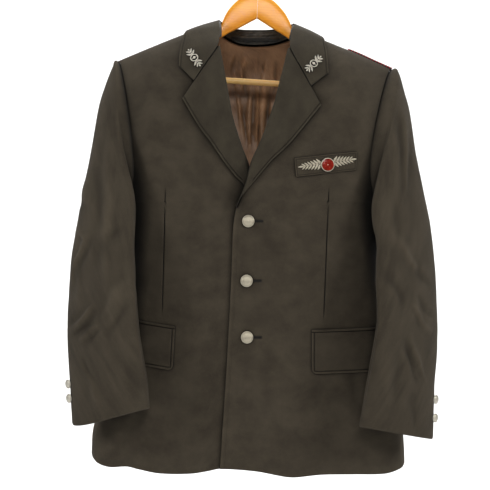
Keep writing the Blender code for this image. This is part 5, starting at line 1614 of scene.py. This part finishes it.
# Columns: y, z.
STAGE_PROFILE = (
    (-6.0, -1.3), (2.0, -1.3), (2.6, -1.24), (3.0, -1.05), (3.25, -0.7), (3.35, -0.2), (3.35, 4.5),
)
STAGE_HALF_WIDTH = 7.0
PAPER_COLOURS = ((0.93, 0.93, 0.93, 1), (0.97, 0.97, 0.97, 1))
WORLD_LIGHT, GAMMA = 0.025, 0.88
# Columns: name, place, aim, size, power.
LIGHTS = (
    ("key", (0.05, -2.4, 0.45), (0, 0, -0.5), 0.6, 22.0),
    ("left", (-2.25, -1.2, 0.4), (0, 0, -0.5), 0.6, 27.0),
    ("right", (2.25, -1.2, 0.4), (0, 0, -0.5), 0.6, 30.0),
    ("top", (0.0, -0.7, 1.9), (0, 0, -0.5), 1.4, 3.0),
    ("paper", (0.0, 1.2, 1.9), (0, 3.2, -0.4), 3.5, 125.0),
    ("back", (0.3, 2.2, 1.3), (0, 0, -0.5), 1.0, 24.0),
)
CAMERA_PLACE, CAMERA_LENS, CAMERA_SENSOR = (-0.01815, -2.570, -0.4991), 111.3, 36.0


def make_stage():
    """A pale floor that curves up into a backdrop, soft lights and the camera of the photograph."""
    shape = bmesh.new()
    verts = [shape.verts.new((-STAGE_HALF_WIDTH, y, z)) for y, z in STAGE_PROFILE]
    edges = [shape.edges.new(pair) for pair in zip(verts, verts[1:])]
    made = bmesh.ops.extrude_edge_only(shape, edges=edges)
    bmesh.ops.translate(shape, verts=new_verts(made), vec=(STAGE_HALF_WIDTH * 2, 0, 0))
    bmesh.ops.recalc_face_normals(shape, faces=shape.faces)
    bmesh.ops.reverse_faces(shape, faces=shape.faces)
    mesh = bpy.data.meshes.new("floor")
    shape.to_mesh(mesh)
    shape.free()
    mesh.shade_smooth()
    floor = bpy.data.objects.new("floor", mesh)
    bpy.context.scene.collection.objects.link(floor)
    material, tree, inputs = new_material("floor_paper", roughness=0.95, specular=0.1)
    grain = speckle(tree, object_place(tree), 40.0)
    tree.links.new(blend_colours(tree, grain, *PAPER_COLOURS), inputs["Base Color"])
    # Seen from behind, the backdrop lets the view through.
    behind = add(tree, "ShaderNodeNewGeometry").outputs["Backfacing"]
    clear = add(tree, "ShaderNodeBsdfTransparent").outputs[0]
    paper = tree.nodes["Principled BSDF"].outputs[0]
    both = add(tree, "ShaderNodeMixShader", {0: behind, 1: paper, 2: clear}).outputs[0]
    tree.links.new(both, tree.nodes["Material Output"].inputs["Surface"])
    mesh.materials.append(material)
    world = bpy.data.worlds.new("studio")
    world.use_nodes = True
    sky = world.node_tree.nodes["Background"].inputs
    sky["Color"].default_value, sky["Strength"].default_value = (1, 1, 1, 1), WORLD_LIGHT
    bpy.context.scene.world = world
    for name, spot, aim, size, power in LIGHTS:
        light = bpy.data.lights.new(name, "AREA")
        light.size, light.energy = size, power
        lamp = bpy.data.objects.new(name, light)
        bpy.context.scene.collection.objects.link(lamp)
        lamp.location = spot
        lamp.rotation_euler = (Vector(aim) - Vector(spot)).to_track_quat("-Z", "Y").to_euler()
    bpy.context.scene.view_settings.view_transform = "Standard"
    bpy.context.scene.view_settings.gamma = GAMMA
    camera = bpy.data.cameras.new("camera")
    camera.sensor_width, camera.lens = CAMERA_SENSOR, CAMERA_LENS
    eye = bpy.data.objects.new("camera", camera)
    eye.location, eye.rotation_euler = CAMERA_PLACE, (math.pi / 2, 0, 0)
    bpy.context.scene.collection.objects.link(eye)
    bpy.context.scene.camera = eye


make_stage()
for side in (LEFT, RIGHT):
    make_front(side)
    make_back(side)
    make_sleeve(side, 0.0, 180.0, "top")
    make_sleeve(side, 180.0, 360.0, "under")
    make_lapel(side)
    make_pocket(side)
    make_collar_pin(side)
for make in (
    make_collar, make_stand, make_lining, make_breast_welt, make_cord, make_loop, make_buttons, make_badge,
    make_buttonholes, make_hanger, make_bar, make_hook,
):
    make()
